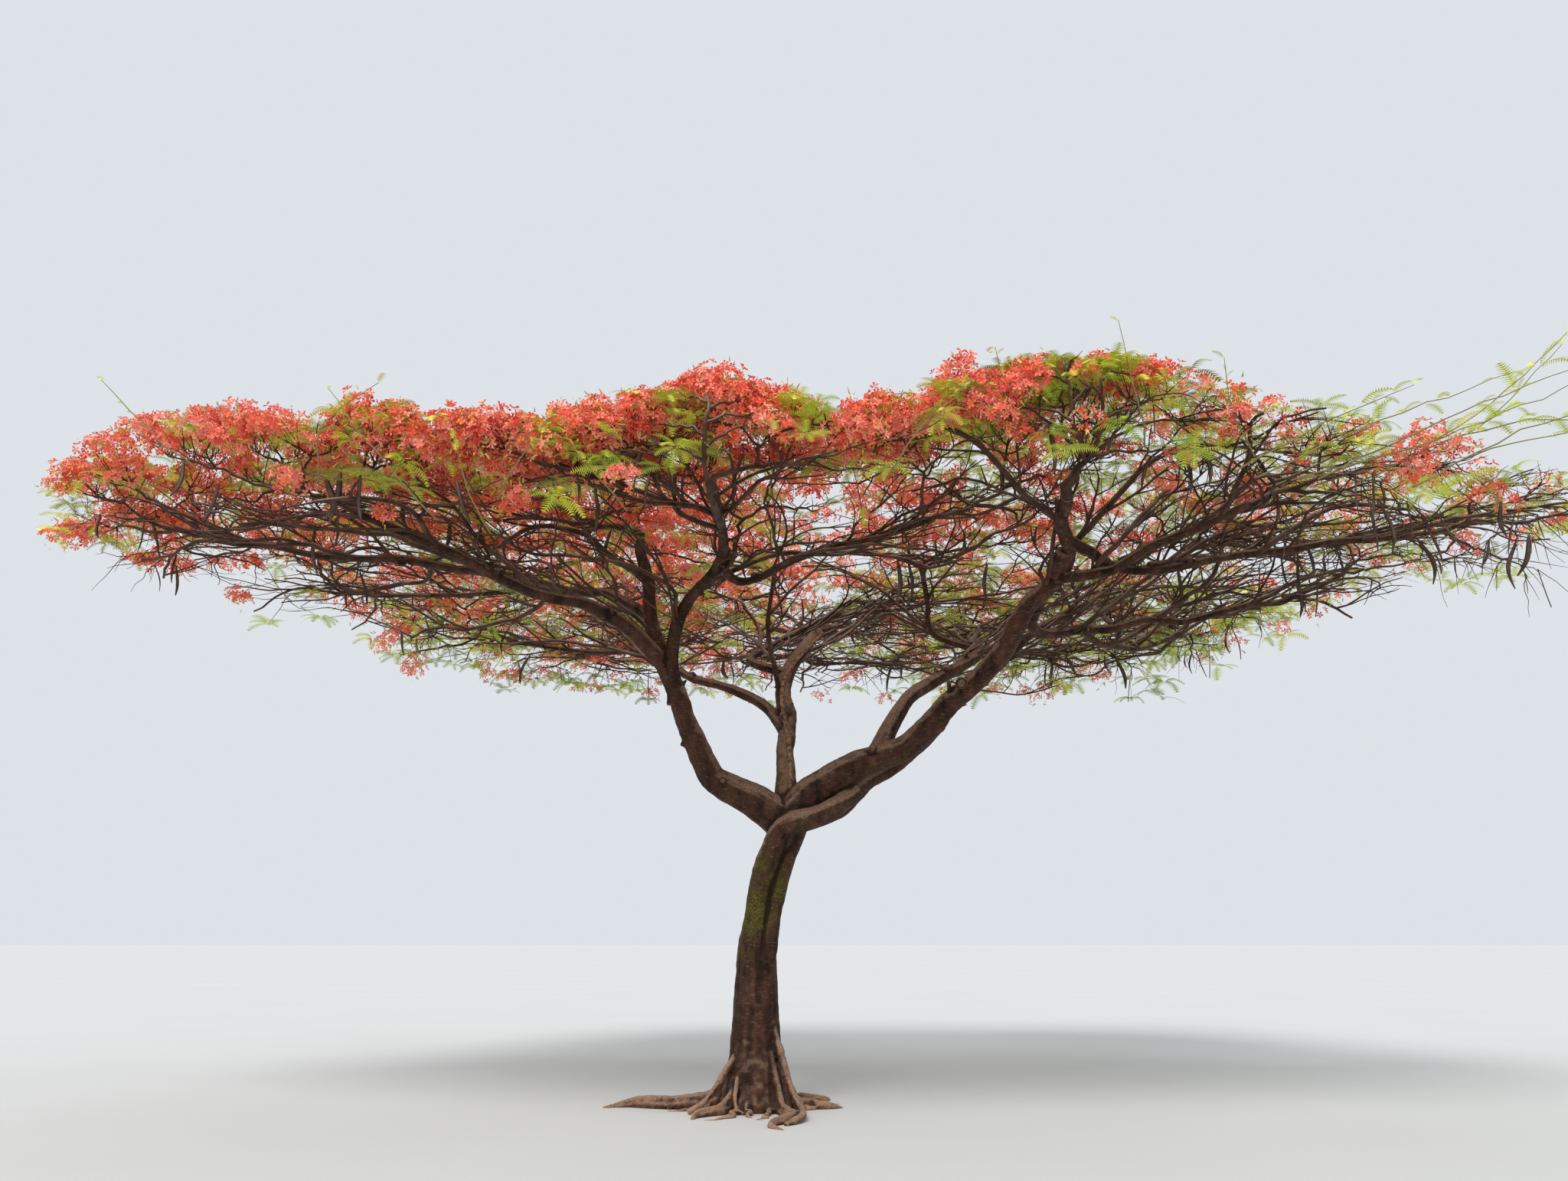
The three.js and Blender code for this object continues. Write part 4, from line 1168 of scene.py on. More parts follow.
def highlight_strand(limb):
    """Models a pale strand that winds up the front of a limb, a painted highlight along that front."""
    share = np.linspace(0.06, 0.62, 40)
    sideways = 0.008 + 0.016 * np.sin(share * 21)
    forward = -1.13 * np.interp(share, [0, 1], limb["thick"])
    front = np.stack([sideways, forward, 0 * share], axis=1)
    return limb_object("painted_highlight_strand", limb["curve"].at(share) + front, 0.026 - 0.01 * share, 10)


class FLAMETREE_OT_trunk(bpy.types.Operator):
    """Models the trunk, its surface roots and the fork's four limbs as one skin, with one pale strand of
    painted highlight
    """

    bl_idname = "flame_tree.trunk"
    bl_label = "Trunk and fork"

    def execute(self, context):
        settings = context.scene.flame_tree_bark
        limbs = tree_plan()["limbs"]
        draw = np.random.default_rng(SEEDS["trunk"])
        parts = [limb_object("trunk_stem", *trunk_rings(), 24), *strand_objects()]
        for root in ROOTS:
            parts += root_objects(root)
        parts += ridge_objects()
        parts += [limb_object("rootlet", *rootlet_rings(draw), 8) for _ in range(ROOTLETS)]
        parts += fork_objects(limbs, draw)
        parts += [knot(place, size) for place, size in KNOTS]
        piece = join(parts, "bark_trunk")
        weather(piece, settings.trunk_mesh, settings.relief, FACES_KEPT["trunk"])
        cut_at_ground(piece)
        finish_piece(piece, bark_material("damp_bark", settings, 0.75), ("trunk", *MAIN_LIMBS))
        strand = highlight_strand(limbs["middle_bough"])
        # The strand's pale colours are a painted highlight on the front of the middle bough
        pale_colour = tinted_material("strand_highlight_paint", settings.root_pale_and_strand_highlight, settings.foot, 0.7, 26.0)
        finish_piece(strand, pale_colour)
        return {"FINISHED"}


class FLAMETREE_OT_scars(bpy.types.Operator):
    """Models the scars where boughs were cut off: a rolled rim of bark round a disc of bare wood"""

    bl_idname = "flame_tree.scars"
    bl_label = "Pruning scars"

    def execute(self, context):
        settings = context.scene.flame_tree_bark
        rims, discs = [], []
        for place, facing, radius in SCARS:
            turn = mathutils.Vector(facing).to_track_quat("Z", "Y").to_euler()
            deselect_all()
            bpy.ops.mesh.primitive_torus_add(location=place, rotation=turn, major_radius=radius,
                                             minor_radius=radius * 0.3, major_segments=28, minor_segments=10)
            bpy.ops.object.transform_apply(location=True, rotation=True, scale=True)
            rims.append(context.object)
            deselect_all()
            bpy.ops.mesh.primitive_cylinder_add(vertices=28, radius=radius, depth=radius * 0.35,
                                                location=place, rotation=turn)
            bpy.ops.object.mode_set(mode="EDIT")
            bpy.ops.mesh.select_all(action="SELECT")
            bpy.ops.mesh.bevel(offset=radius * 0.08, segments=2)
            bpy.ops.object.mode_set(mode="OBJECT")
            bpy.ops.object.transform_apply(location=True, rotation=True, scale=True)
            discs.append(context.object)
        rim, disc = join(rims, "scar_rims"), join(discs, "scar_wood")
        for piece in (rim, disc):
            select_only(piece)
            bpy.ops.object.shade_smooth_by_angle(angle=math.radians(50))
        mark_upward(rim)
        mark_ridges(rim)
        finish_piece(rim, bark_material("scar_bark", settings, 0.0))
        wood = tinted_material("bare_wood", settings.scar, np.array(settings.scar) * 0.55, 0.7, 60.0)
        finish_piece(disc, wood)
        return {"FINISHED"}


class FLAMETREE_OT_boughs(bpy.types.Operator):
    """Models the smaller boughs as one skin of bark that grips the fork's limbs"""

    bl_idname = "flame_tree.boughs"
    bl_label = "Boughs"

    def execute(self, context):
        settings = context.scene.flame_tree_bark
        limbs = [limb for limb in tree_plan()["limbs"].values() if limb["name"] not in ("trunk", *MAIN_LIMBS)]
        draw = np.random.default_rng(SEEDS["boughs"])
        parts = []
        for limb in limbs:
            parts.append(limb_object(limb["name"] + "_wood", *limb_rings(limb, 0.08, draw), 12))
            for share in draw.uniform(0.1, 0.8, int(limb["curve"].length / 0.9)):
                thick = np.interp(share, [0, 1], limb["thick"])
                aside = unit(draw.normal(0, 1, 3)) * thick * 0.5
                parts.append(knot(limb["curve"].at(share) + aside, thick * draw.uniform(0.65, 0.9, 3)))
                parts.append(stub(limb, share * 0.9, draw))
        piece = join(parts, "bark_boughs")
        weather(piece, settings.bough_mesh, settings.relief * 0.5, FACES_KEPT["boughs"])
        replaced = [limb["name"] for limb in limbs]
        finish_piece(piece, bark_material("bough_bark", settings, 0.25), replaced)
        return {"FINISHED"}


# Twigs


# The web of bare twigs: length of a step, the lowest start, and how far out twigs start and end
WEB_STEP = 0.13
WEB_LOWEST = 4.75
WEB_RIM = {"start": 0.93, "end": 0.955}
# Twigs to the tips: the radius that parts strong from slender ones, then step, wander and sides of each kind
STRONG_TWIG = 0.0115
TWIG_BENDS = {"strong": (0.1, 0.013, 5), "slender": (0.12, 0.01, 3)}
# Bare upright limbs in front of the two domes: radius at the foot, places from foot to tip, and side
# branches, each with its share along the limb and its run
UPRIGHTS = [
    (0.046,
     [(-0.34, -1.75, 5.68), (-0.37, -2.35, 5.62), (-0.4, -2.9, 5.6), (-0.42, -3.3, 5.74),
      (-0.41, -3.45, 5.95), (-0.38, -3.48, 6.15), (-0.4, -3.44, 6.33)],
     [(0.71, (-0.42, 0.05, 0.16)), (0.76, (0.36, 0, 0.2)), (0.81, (-0.45, 0.1, 0.16)),
      (0.86, (0.46, 0.12, 0.1)), (0.92, (0.3, 0.15, 0.12)), (0.95, (-0.22, 0.15, 0.1))]),
    (0.03,
     [(3.17, -2.56, 6.05), (3.05, -2.9, 6.1), (2.92, -3.15, 6.2), (2.88, -3.25, 6.48), (2.86, -3.2, 6.76)],
     [(0.5, (-0.35, 0, 0.14)), (0.64, (0.26, 0, 0.16)), (0.8, (-0.24, 0.05, 0.1)),
      (0.9, (0.14, 0.05, 0.12))]),
    (0.028,
     [(3.17, -2.56, 6.05), (3.22, -2.9, 6.12), (3.2, -3.15, 6.28), (3.17, -3.25, 6.5), (3.2, -3.2, 6.74)],
     [(0.5, (0.34, 0, 0.1)), (0.68, (-0.16, 0, 0.14)), (0.82, (0.26, 0, 0.08))]),
]
# Long shoots that arch over the crown's right end, and short straight ones above its front: foot, bend, tip
ARCHING_SHOOTS = [
    ((5.0, -2.8, 5.75), (6.3, -3.25, 6.05), (7.4, -3.4, 6.95)),
    ((5.2, -2.9, 5.72), (6.4, -3.15, 6.25), (7.8, -3.35, 6.75)),
    ((4.9, -2.5, 5.8), (6.2, -2.95, 6.05), (8.2, -3.1, 6.85)),
    ((5.7, -2.6, 5.8), (6.8, -2.95, 6.2), (8.6, -2.95, 6.4)),
    ((4.6, -3.0, 5.7), (5.6, -3.3, 6.1), (6.7, -3.6, 6.45)),
    ((5.4, -2.4, 5.85), (6.7, -2.75, 6.2), (7.7, -2.9, 7.1)),
    ((6.2, -2.3, 5.85), (7.3, -2.5, 6.25), (8.7, -2.6, 6.45)),
    ((4.4, -3.0, 5.75), (5.2, -3.25, 6.15), (5.9, -3.45, 6.4)),
    ((6.0, -3.0, 5.6), (7.1, -3.3, 6.1), (8.3, -3.4, 6.25)),
]
STRAIGHT_SHOOTS = [
    ((-2.8, -3.1, 5.25), (-3.2, -3.45, 5.65), (-3.75, -3.5, 6.35)),
    ((-2.3, -3.2, 5.1), (-2.5, -3.45, 5.5), (-2.62, -3.5, 5.95)),
    ((-2.25, -3.2, 5.4), (-2.0, -3.45, 5.7), (-1.78, -3.5, 6.05)),
    ((-1.1, -3.2, 5.3), (-1.3, -3.45, 5.5), (-1.55, -3.5, 5.8)),
    ((-4.9, -3.2, 5.65), (-5.35, -3.4, 6.0), (-5.8, -3.45, 6.45)),
    ((3.6, -3.0, 6.0), (3.45, -3.3, 6.5), (3.35, -3.35, 7.1)),
    ((2.4, -3.1, 6.0), (2.3, -3.3, 6.35), (2.2, -3.4, 6.8)),
    ((-3.9, -3.1, 5.6), (-3.8, -3.4, 6.0), (-3.3, -3.5, 6.4)),
    ((1.2, -3.2, 5.6), (1.5, -3.45, 6.0), (1.9, -3.5, 6.4)),
    ((4.6, -3.0, 5.9), (4.35, -3.2, 6.3), (4.3, -3.3, 6.75)),
]


def web_walk(draw, start, heading, run, depth):
    """Walks a crooked, almost level twig through the crown from a start, until it nears the rim."""
    bearing = math.atan2(heading[1], heading[0])
    climb = heading[2]
    places = [start]
    for _ in range(max(2, int(run / WEB_STEP))):
        x, y, z = places[-1]
        if outness(x, y) > WEB_RIM["end"]:
            break
        bearing += draw.normal(0, 0.21)
        wanted = np.clip((crown_top(x, y) - depth - z) / 0.55, -0.2, 0.75)
        climb += 0.4 * (wanted - climb) + draw.normal(0, 0.11)
        places.append(places[-1] + WEB_STEP * unit(np.array([math.cos(bearing), math.sin(bearing), climb])))
    return np.array(places)


def grow_web(draw, lines, spacing, reach, thick, sides, bundle, depths=(0.36, 0.95)):
    """Grows twigs along lines, now on one side and now on the other, and gives their own places and radii."""
    grown = []
    for line, radii in lines:
        curve = Curve(line)
        count = int(curve.length / spacing)
        for k in range(count):
            share = (k + draw.uniform(0.2, 0.8)) / count
            start, heading = curve.at(share), curve.heading(share)
            if start[2] < WEB_LOWEST or outness(start[0], start[1]) > WEB_RIM["start"]:
                continue
            turn = draw.uniform(0.35, 1.05) * (1 if k % 2 else -1)
            c, s = math.cos(turn), math.sin(turn)
            x, y, z = heading
            way = np.array([c * x - s * y, s * x + c * y, 0.5 * z])
            places = web_walk(draw, start, way, reach * draw.uniform(0.45, 1.25), draw.uniform(*depths))
            if len(places) < 3:
                continue
            here = np.interp(share, np.linspace(0, 1, len(radii)), radii)
            base = min(thick * draw.uniform(0.75, 1.25), 0.8 * here)
            own = np.linspace(base, base * 0.45, len(places))
            bundle.add(*tube(places, own, sides))
            grown.append((places, own))
    return grown


def grow_uprights(draw, pieces):
    """Grows the bare upright limbs, with their side branches."""
    for thick, places, branches in UPRIGHTS:
        stem = Curve(places)
        share = np.linspace(0, 1, 26)
        line, radii = meander(stem.at(share), thick * (1 - 0.72 * share), draw, 0.07, 0.006)
        pieces["branches"].add(*tube(line, radii, 8))
        for share, run in branches:
            foot = stem.at(share)
            run = np.array(run) * draw.uniform(0.85, 1.15)
            bends = [foot + 0.45 * run + [0, 0, 0.05], foot + 0.8 * run + [0, 0, 0.02]]
            places = np.array([foot, *bends, foot + run])
            line, radii = meander(places, np.linspace(0.017, 0.006, 4), draw, 0.06, 0.011)
            pieces["long"].add(*tube(line, radii, 5))
            for _ in range(3):
                k = draw.integers(len(line) // 3, len(line))
                way = unit(unit(run) + draw.normal(0, 0.4, 3))
                side = np.array([line[k], line[k] + 0.07 * way, line[k] + 0.13 * way + [0, 0, 0.03]])
                pieces["side"].add(*tube(side, np.array([0.006, 0.005, 0.003]), 3))


class FLAMETREE_OT_twigs(bpy.types.Operator):
    """Grows the twigs from the boughs to every tip, and the level web of bare twigs below the blossom"""

    bl_idname = "flame_tree.twigs"
    bl_label = "Twigs"

    def execute(self, context):
        settings = context.scene.flame_tree_twigs
        plan = tree_plan()
        draw = np.random.default_rng(SEEDS["twigs"])
        pieces = {name: Bundle() for name in ("strong", "slender", "branches", "long", "side", "end")}
        for path, _ in plan["twigs"]:
            places = np.array([place for place, _ in path])
            radii = np.array([radius for _, radius in path])
            kind = "strong" if radii[0] > STRONG_TWIG else "slender"
            step, wander, sides = TWIG_BENDS[kind]
            pieces[kind].add(*tube(*meander(places, radii, draw, step, wander), sides))
        share = np.linspace(0.2, 1, 12)
        boughs = []
        for limb in plan["limbs"].values():
            base, tip = limb["thick"]
            if limb["name"] != "trunk":
                boughs.append((limb["curve"].at(share), base + (tip - base) * share))
        branches = grow_web(draw, boughs, settings.branch_spacing, settings.branch_reach, 0.031, 6,
                            pieces["branches"], (0.45, 1.05))
        long_ones = grow_web(draw, boughs + branches, settings.long_spacing, settings.long_reach, 0.019, 4,
                             pieces["long"])
        side_ones = grow_web(draw, long_ones, settings.side_spacing, settings.side_reach, 0.0125, 3,
                             pieces["side"])
        grow_web(draw, side_ones, settings.end_spacing, settings.end_reach, 0.0075, 3, pieces["end"])
        grow_uprights(draw, pieces)
        bark = twig_material("twig_bark", settings)
        for name, bundle in pieces.items():
            piece = bundle.piece(f"twigs_{name}", True)
            mark_upward(piece)
            finish_piece(piece, bark, CROWN_NODES if name == "strong" else ())
        return {"FINISHED"}


def shoot_lines():
    """Gives the lines of the arching shoots: those set out above, and those on the tips that shoot."""
    draw = np.random.default_rng(SEEDS["shoot_lines"])
    lines = [Curve(points) for points in ARCHING_SHOOTS]
    for tip in tree_plan()["tips"]:
        if tip["shoot"]:
            end = tip["place"] + draw.normal(0, 1, 3) * [0.28, 0.28, 0.1]
            outward = unit(np.array([end[0] - CROWN_MIDDLE[0], 0.6 * (end[1] - CROWN_MIDDLE[1]), 0]))
            foot = end - outward * draw.uniform(1.3, 2.1)
            foot[2] = crown_top(foot[0], foot[1]) - 0.45
            middle = foot + 0.45 * (end - foot)
            middle[2] = foot[2] + 0.62 * (end[2] - foot[2])
            if outness(end[0], end[1]) < 1 and end[0] < 8.6:
                lines.append(Curve([foot, middle, end]))
    return lines


class FLAMETREE_OT_shoots(bpy.types.Operator):
    """Grows the green shoots that arch over the crown's right end and stand above its front"""

    bl_idname = "flame_tree.shoots"
    bl_label = "Young shoots"

    def execute(self, context):
        settings = context.scene.flame_tree_twigs
        draw = np.random.default_rng(SEEDS["shoot_stems"])
        bundle = Bundle()
        share = np.linspace(0, 1, 12)
        for curve in shoot_lines() + [Curve(points) for points in STRAIGHT_SHOOTS]:
            line, radii = meander(curve.at(share), 0.0095 - 0.0065 * share, draw, 0.2, 0.012)
            bundle.add(*tube(line, radii, 5))
        browner = np.array(settings.shoot) * [1.3, 0.9, 0.9]
        green = tinted_material("green_shoot", settings.shoot, browner, 0.5)
        finish_piece(bundle.piece("shoots", True), green)
        return {"FINISHED"}


# Blossom

# The share of each tint, how full the heads are along X, and the share of a head that keeps to one tint
BLOSSOM_SHARES = {"scarlet": 0.35, "coral": 0.34, "orange": 0.09, "crimson": 0.1, "blush": 0.12}
HEADS_FULL = ([-7, -3, 1, 3, 5], [1, 1.15, 1.15, 0.95, 0.85])
HEAD_OF_ONE_TINT = 0.45
SEPALS = 9
BUD_SIZE = 0.015


def flower_shape():
    """Gives one flower about 1 wide: five broad petals that meet in the middle, each folded lengthwise."""
    points, faces = [(0, 0, -0.08)], []
    for k in range(5):
        angle = 2 * math.pi * k / 5
        c, s = math.cos(angle), math.sin(angle)
        droop = (0.1, -0.04, 0.08, -0.06, 0.14)[k]
        for out, aside, height in ((0.37, 0.16, 0.1), (0.55, 0.0, 0.0), (0.37, -0.16, 0.1)):
            points.append((c * out - s * aside, s * out + c * aside, height + droop))
        first = 3 * k + 1
        faces += [(0, first + 1, first), (0, first + 2, first + 1)]
    return np.array(points), np.array(faces)


def sepal_shape():
    """Gives one narrow sepal of length 1 that stands up from its foot."""
    points = np.array([(0, -0.14, 0), (0, 0.14, 0), (0.25, 0.12, 0.6), (0.3, 0, 1)])
    return points, np.array([(0, 1, 2), (0, 2, 3)])


def bud_shape():
    """Gives one bud, a drop with six faces."""
    points = np.array([(0, 0, -1), (0.42, 0, 0.2), (-0.21, 0.36, 0.2), (-0.21, -0.36, 0.2), (0, 0, 1)])
    faces = np.array([(0, 2, 1), (0, 3, 2), (0, 1, 3), (4, 1, 2), (4, 2, 3), (4, 3, 1)])
    return points, faces


def head_of_flowers(place, settings, draw):
    """Gives the places, axes and sizes of one head's flowers, spread over a rather flat ball."""
    near = 1 - 0.45 * smooth_step(place[1], -0.5, 2.5)
    full = near * np.interp(place[0], *HEADS_FULL)
    count = int(settings.flowers * full * draw.uniform(0.75, 1.2))
    k = np.arange(count)
    lift = 1 - 1.2 * (k + 0.5) / count
    turn = k * GOLDEN_ANGLE + draw.uniform(0, 6)
    level = np.sqrt(1 - lift ** 2)
    out = np.stack([level * np.cos(turn), level * np.sin(turn), lift], axis=1)
    out = unit(out + draw.normal(0, 0.18, out.shape))
    radius = settings.head_radius * draw.uniform(0.75, 1.2) * draw.uniform(0.55, 1.15, (count, 1))
    facing = out + [0, 0, 0.25] + draw.normal(0, 0.25, out.shape)
    axes = axes_facing(facing, draw.uniform(0, 6, count))
    sizes = settings.flower_width * draw.uniform(0.8, 1.15, count)
    return place + out * radius * [1, 1, 0.75], axes, sizes


def add_bud(place, settings, draw, shape, bundle):
    """Adds a bud on top of a head."""
    above = unit(draw.normal(0, 0.5, (1, 3)) + UP)
    axes = axes_facing(above, draw.uniform(0, 6, 1))
    bundle.add_copies(shape, place + above * settings.head_radius, axes, np.array([BUD_SIZE]))


def add_sepals(place, settings, draw, shape, bundle):
    """Adds sepals round a head."""
    around = unit(draw.normal(0, 1, (SEPALS, 3)) + [0, -0.2, 0.1])
    places = place + around * settings.head_radius * draw.uniform(0.5, 1.1, (SEPALS, 1))
    axes = axes_facing(around + draw.normal(0, 0.5, (SEPALS, 3)), draw.uniform(0, 6, SEPALS))
    bundle.add_copies(shape, places, axes, draw.uniform(0.04, 0.075, SEPALS))


class FLAMETREE_OT_blossom(bpy.types.Operator):
    """Sets heads of flowers and buds on the tips that blossom, each head mostly of one tint"""

    bl_idname = "flame_tree.blossom"
    bl_label = "Blossom"

    def execute(self, context):
        settings = context.scene.flame_tree_blossom
        draw = np.random.default_rng(SEEDS["blossom"])
        tints, shares = list(BLOSSOM_SHARES), list(BLOSSOM_SHARES.values())
        bundles = {tint: Bundle() for tint in tints}
        buds, sepals = Bundle(), Bundle()
        flower, bud, sepal = flower_shape(), bud_shape(), sepal_shape()
        for _, tip in tree_plan()["twigs"]:
            if tip["bears"] != "blossom":
                continue
            places, axes, sizes = head_of_flowers(tip["place"], settings, draw)
            main = draw.choice(5, p=shares)
            own = draw.random(len(places)) < HEAD_OF_ONE_TINT
            dealt = np.where(own, main, draw.choice(5, len(places), p=shares))
            for index, tint in enumerate(tints):
                mine = dealt == index
                if mine.any():
                    bundles[tint].add_copies(flower, places[mine], axes[mine], sizes[mine])
            add_bud(tip["place"], settings, draw, bud, buds)
            add_sepals(tip["place"], settings, draw, sepal, sepals)
        for index, tint in enumerate(tints):
            main = np.array(getattr(settings, tint))
            other = np.clip(main * [1.08, 1.35, 1.3], 0, 1)
            material = tinted_material(f"petals_{tint}", main, other, 0.55)
            finish_piece(bundles[tint].piece(f"blossom_{tint}", False), material)
        green = tinted_material("green_bud", settings.bud, np.array(settings.bud) * [1.5, 1.1, 1], 0.5)
        finish_piece(buds.piece("blossom_buds", True), green)
        finish_piece(sepals.piece("blossom_sepals", False), green)
        return {"FINISHED"}


# Leaves

# The share of each tint in the upper and the lower layer, and the leaves' size along X and in each layer
LEAF_TINTS = ["lime", "sunlit_yellow", "fresh", "shaded_olive"]
# The lower layer gets more of the olive tint of painted shade and less of the yellow tint of painted sunlight
LEAF_SHARES = ([0.4, 0.27, 0.23, 0.1], [0.32, 0.12, 0.32, 0.24])
LEAF_SCALE = ([1.5, 4, 8], [0.82, 0.95, 0.95])
LEAF_SCALE_IN_LAYER = (0.88, 1.1)
LEAFY_HEADS = 0.3  # the share of blossoming tips that also bear a leaf
# Leaves along a shoot: how many, the share of it where they start, and their size
ARCHING_LEAVES = (8, 0.45, 0.75)
STRAIGHT_LEAVES = (5, 0.55, 0.36)


def leaf_shape(pairs, arch, fold):
    """Gives one feathery leaf of length 1: an arching rib with pairs of side blades, longest midway."""
    points, faces = [], []

    def rib(t):
        return np.array([t, 0.0, arch * (2 * t * (1 - t) - 0.55 * t * t)])

    line = [rib(t) for t in (0.0, 0.5, 1.0)]
    width = 0.008
    for place in line:
        points += [place + [0, width, 0], place - [0, width, 0]]
    for k in (0, 2):
        faces += [(k, k + 1, k + 3), (k, k + 3, k + 2)]
    step = 0.86 / pairs
    for k in range(pairs):
        t = 0.14 + step * k
        root, onward = rib(t), rib(t + 0.052)
        reach = 0.32 * math.sin(math.pi * (0.12 + 0.82 * t)) ** 0.7 * (0.9 if k % 2 else 1.05)
        for side in (1, -1):
            way = np.array([0.42, side * 1.0, -fold])
            way /= np.linalg.norm(way)
            first = len(points)
            points += [root, onward, root + way * reach]
            faces += [(first, first + 1, first + 2)[::side]]
    return np.array(points), np.array(faces)


def tip_leaves(tip, count, lift, settings, draw):
    """Gives the axes and sizes of the leaves that spread from a tip."""
    scale = np.interp(tip["place"][0], *LEAF_SCALE) * LEAF_SCALE_IN_LAYER[tip["layer"]]
    turn = draw.uniform(0, 6) + np.arange(count) * GOLDEN_ANGLE
    way = unit(np.stack([np.cos(turn), np.sin(turn), lift + draw.normal(0, 0.2, count)], axis=1))
    across = unit(np.cross(UP, way) + draw.normal(0, 0.15, way.shape))
    axes = np.stack([way, across, np.cross(way, across)], axis=1)
    return axes, settings.leaf_length * scale * draw.uniform(0.7, 1.15, count)


def shoot_leaves(curve, count, first, size, draw):
    """Gives the places, axes and sizes of the leaves along a shoot, now on one side and now on the other."""
    share = np.sort(draw.uniform(first, 1, count))
    share[-1] = 0.99
    along = curve.heading(share)
    side = np.where(np.arange(count) % 2, 1.0, -1.0)[:, None]
    level = unit(np.cross(UP, along + [0.01, 0, 0]))
    spread = side * level * draw.uniform(0.3, 1.1, side.shape)
    way = unit(0.8 * along + spread + draw.normal(0, 0.35, along.shape))
    across = unit(np.cross(UP, way))
    axes = np.stack([way, across, np.cross(way, across)], axis=1)
    return curve.at(share), axes, size * draw.uniform(0.5, 1.4, count)


class FLAMETREE_OT_leaves(bpy.types.Operator):
    """Sets sprays of feathery leaves on the leafy tips and the young shoots, and a few among the blossom"""

    bl_idname = "flame_tree.leaves"
    bl_label = "Leaves"

    def execute(self, context):
        settings = context.scene.flame_tree_leaves
        draw = np.random.default_rng(SEEDS["leaves"])
        bundles = {tint: Bundle() for tint in LEAF_TINTS}
        forms = ((0.18, 0.1), (0.3, 0.3), (0.42, 0.5))
        shapes = [leaf_shape(settings.pairs, arch, fold) for arch, fold in forms]
        for _, tip in tree_plan()["twigs"]:
            if tip["bears"] == "leaves":
                count, lift = int(draw.integers(5, 9) - 2 * smooth_step(tip["place"][0], 3, 5)), 0.05
            else:
                count, lift = int(tip["bears"] == "blossom" and draw.random() < LEAFY_HEADS), -0.1
            if not count:
                continue
            axes, sizes = tip_leaves(tip, count, lift, settings, draw)
            main = draw.choice(4, p=LEAF_SHARES[tip["layer"]])
            shape = shapes[draw.integers(0, 3)]
            places = np.repeat(tip["place"][None], count, 0)
            bundles[LEAF_TINTS[main]].add_copies(shape, places, axes, sizes)
        sprays = [(curve, *ARCHING_LEAVES) for curve in shoot_lines()]
        sprays += [(Curve(points), *STRAIGHT_LEAVES) for points in STRAIGHT_SHOOTS]
        for curve, count, first, size in sprays:
            places, axes, sizes = shoot_leaves(curve, count, first, settings.leaf_length * size, draw)
            # Shoot leaves often get the yellow tint of painted sunlight
            tint = "sunlit_yellow" if draw.random() < 0.4 else "lime"
            bundles[tint].add_copies(shapes[1], places, axes, sizes)
        for tint in LEAF_TINTS:
            main = np.array(getattr(settings, tint))
            other = np.clip(main * [1.25, 1.12, 1.1], 0, 1)
            material = tinted_material(f"leaf_{tint}", main, other, 0.5)
            finish_piece(bundles[tint].piece(f"leaves_{tint}", False), material)
        return {"FINISHED"}


# Pods

# Pods that hang at listed places in the crown's front: where each one's stalk ends
FRONT_PODS = [
    (2.72, -3.0, 6.78), (2.83, -2.8, 6.86), (2.98, -3.1, 6.7), (3.06, -2.9, 6.74),
    (3.2, -3.0, 6.8), (3.75, -2.9, 6.62), (-5.0, -2.7, 5.75), (-5.25, -2.9, 5.9),
    (-4.4, -2.6, 5.6), (-3.6, -2.9, 5.75), (-3.95, -2.5, 5.6), (-1.6, -3.0, 5.75),
    (-5.7, -2.7, 5.8), (-4.7, -3.2, 5.8), (-3.2, -3.2, 5.5), (-2.6, -3.3, 5.55),
    (-0.9, -3.3, 5.6), (5.1, -2.4, 5.6), (5.9, -2.6, 5.6), (6.6, -2.3, 5.6),
    (7.1, -2.5, 5.65),
]


def pod_shape(width, curl, thickness=0.024, steps=8):
    """Gives one hanging pod of length 1: a flat curved blade, thickest midway and pointed at both ends."""
    share = np.linspace(0, 1, steps)
    places = np.stack([np.zeros(steps), curl * np.sin(math.pi * share ** 1.3), -share], axis=1)
    wide = width / 2 * np.sin(math.pi * (0.06 + 0.9 * share)) ** 0.5
    points, faces = tube(places, np.ones(steps), 4)
    rings = points[:-2].reshape(steps, 4, 3) - places[:, None]
    size = np.stack([np.full(steps, thickness / 2), wide], axis=1)
    thin, broad = rings[..., 0] * size[:, None, 0], rings[..., 1] * size[:, None, 1]
    flat = np.stack([thin, broad, rings[..., 2] * 0], axis=-1)
    points[:-2] = (places[:, None] + flat).reshape(-1, 3)
    points[-2], points[-1] = places[0] + [0, 0, 0.02], places[-1] - [0, 0, 0.026]
    return points, faces


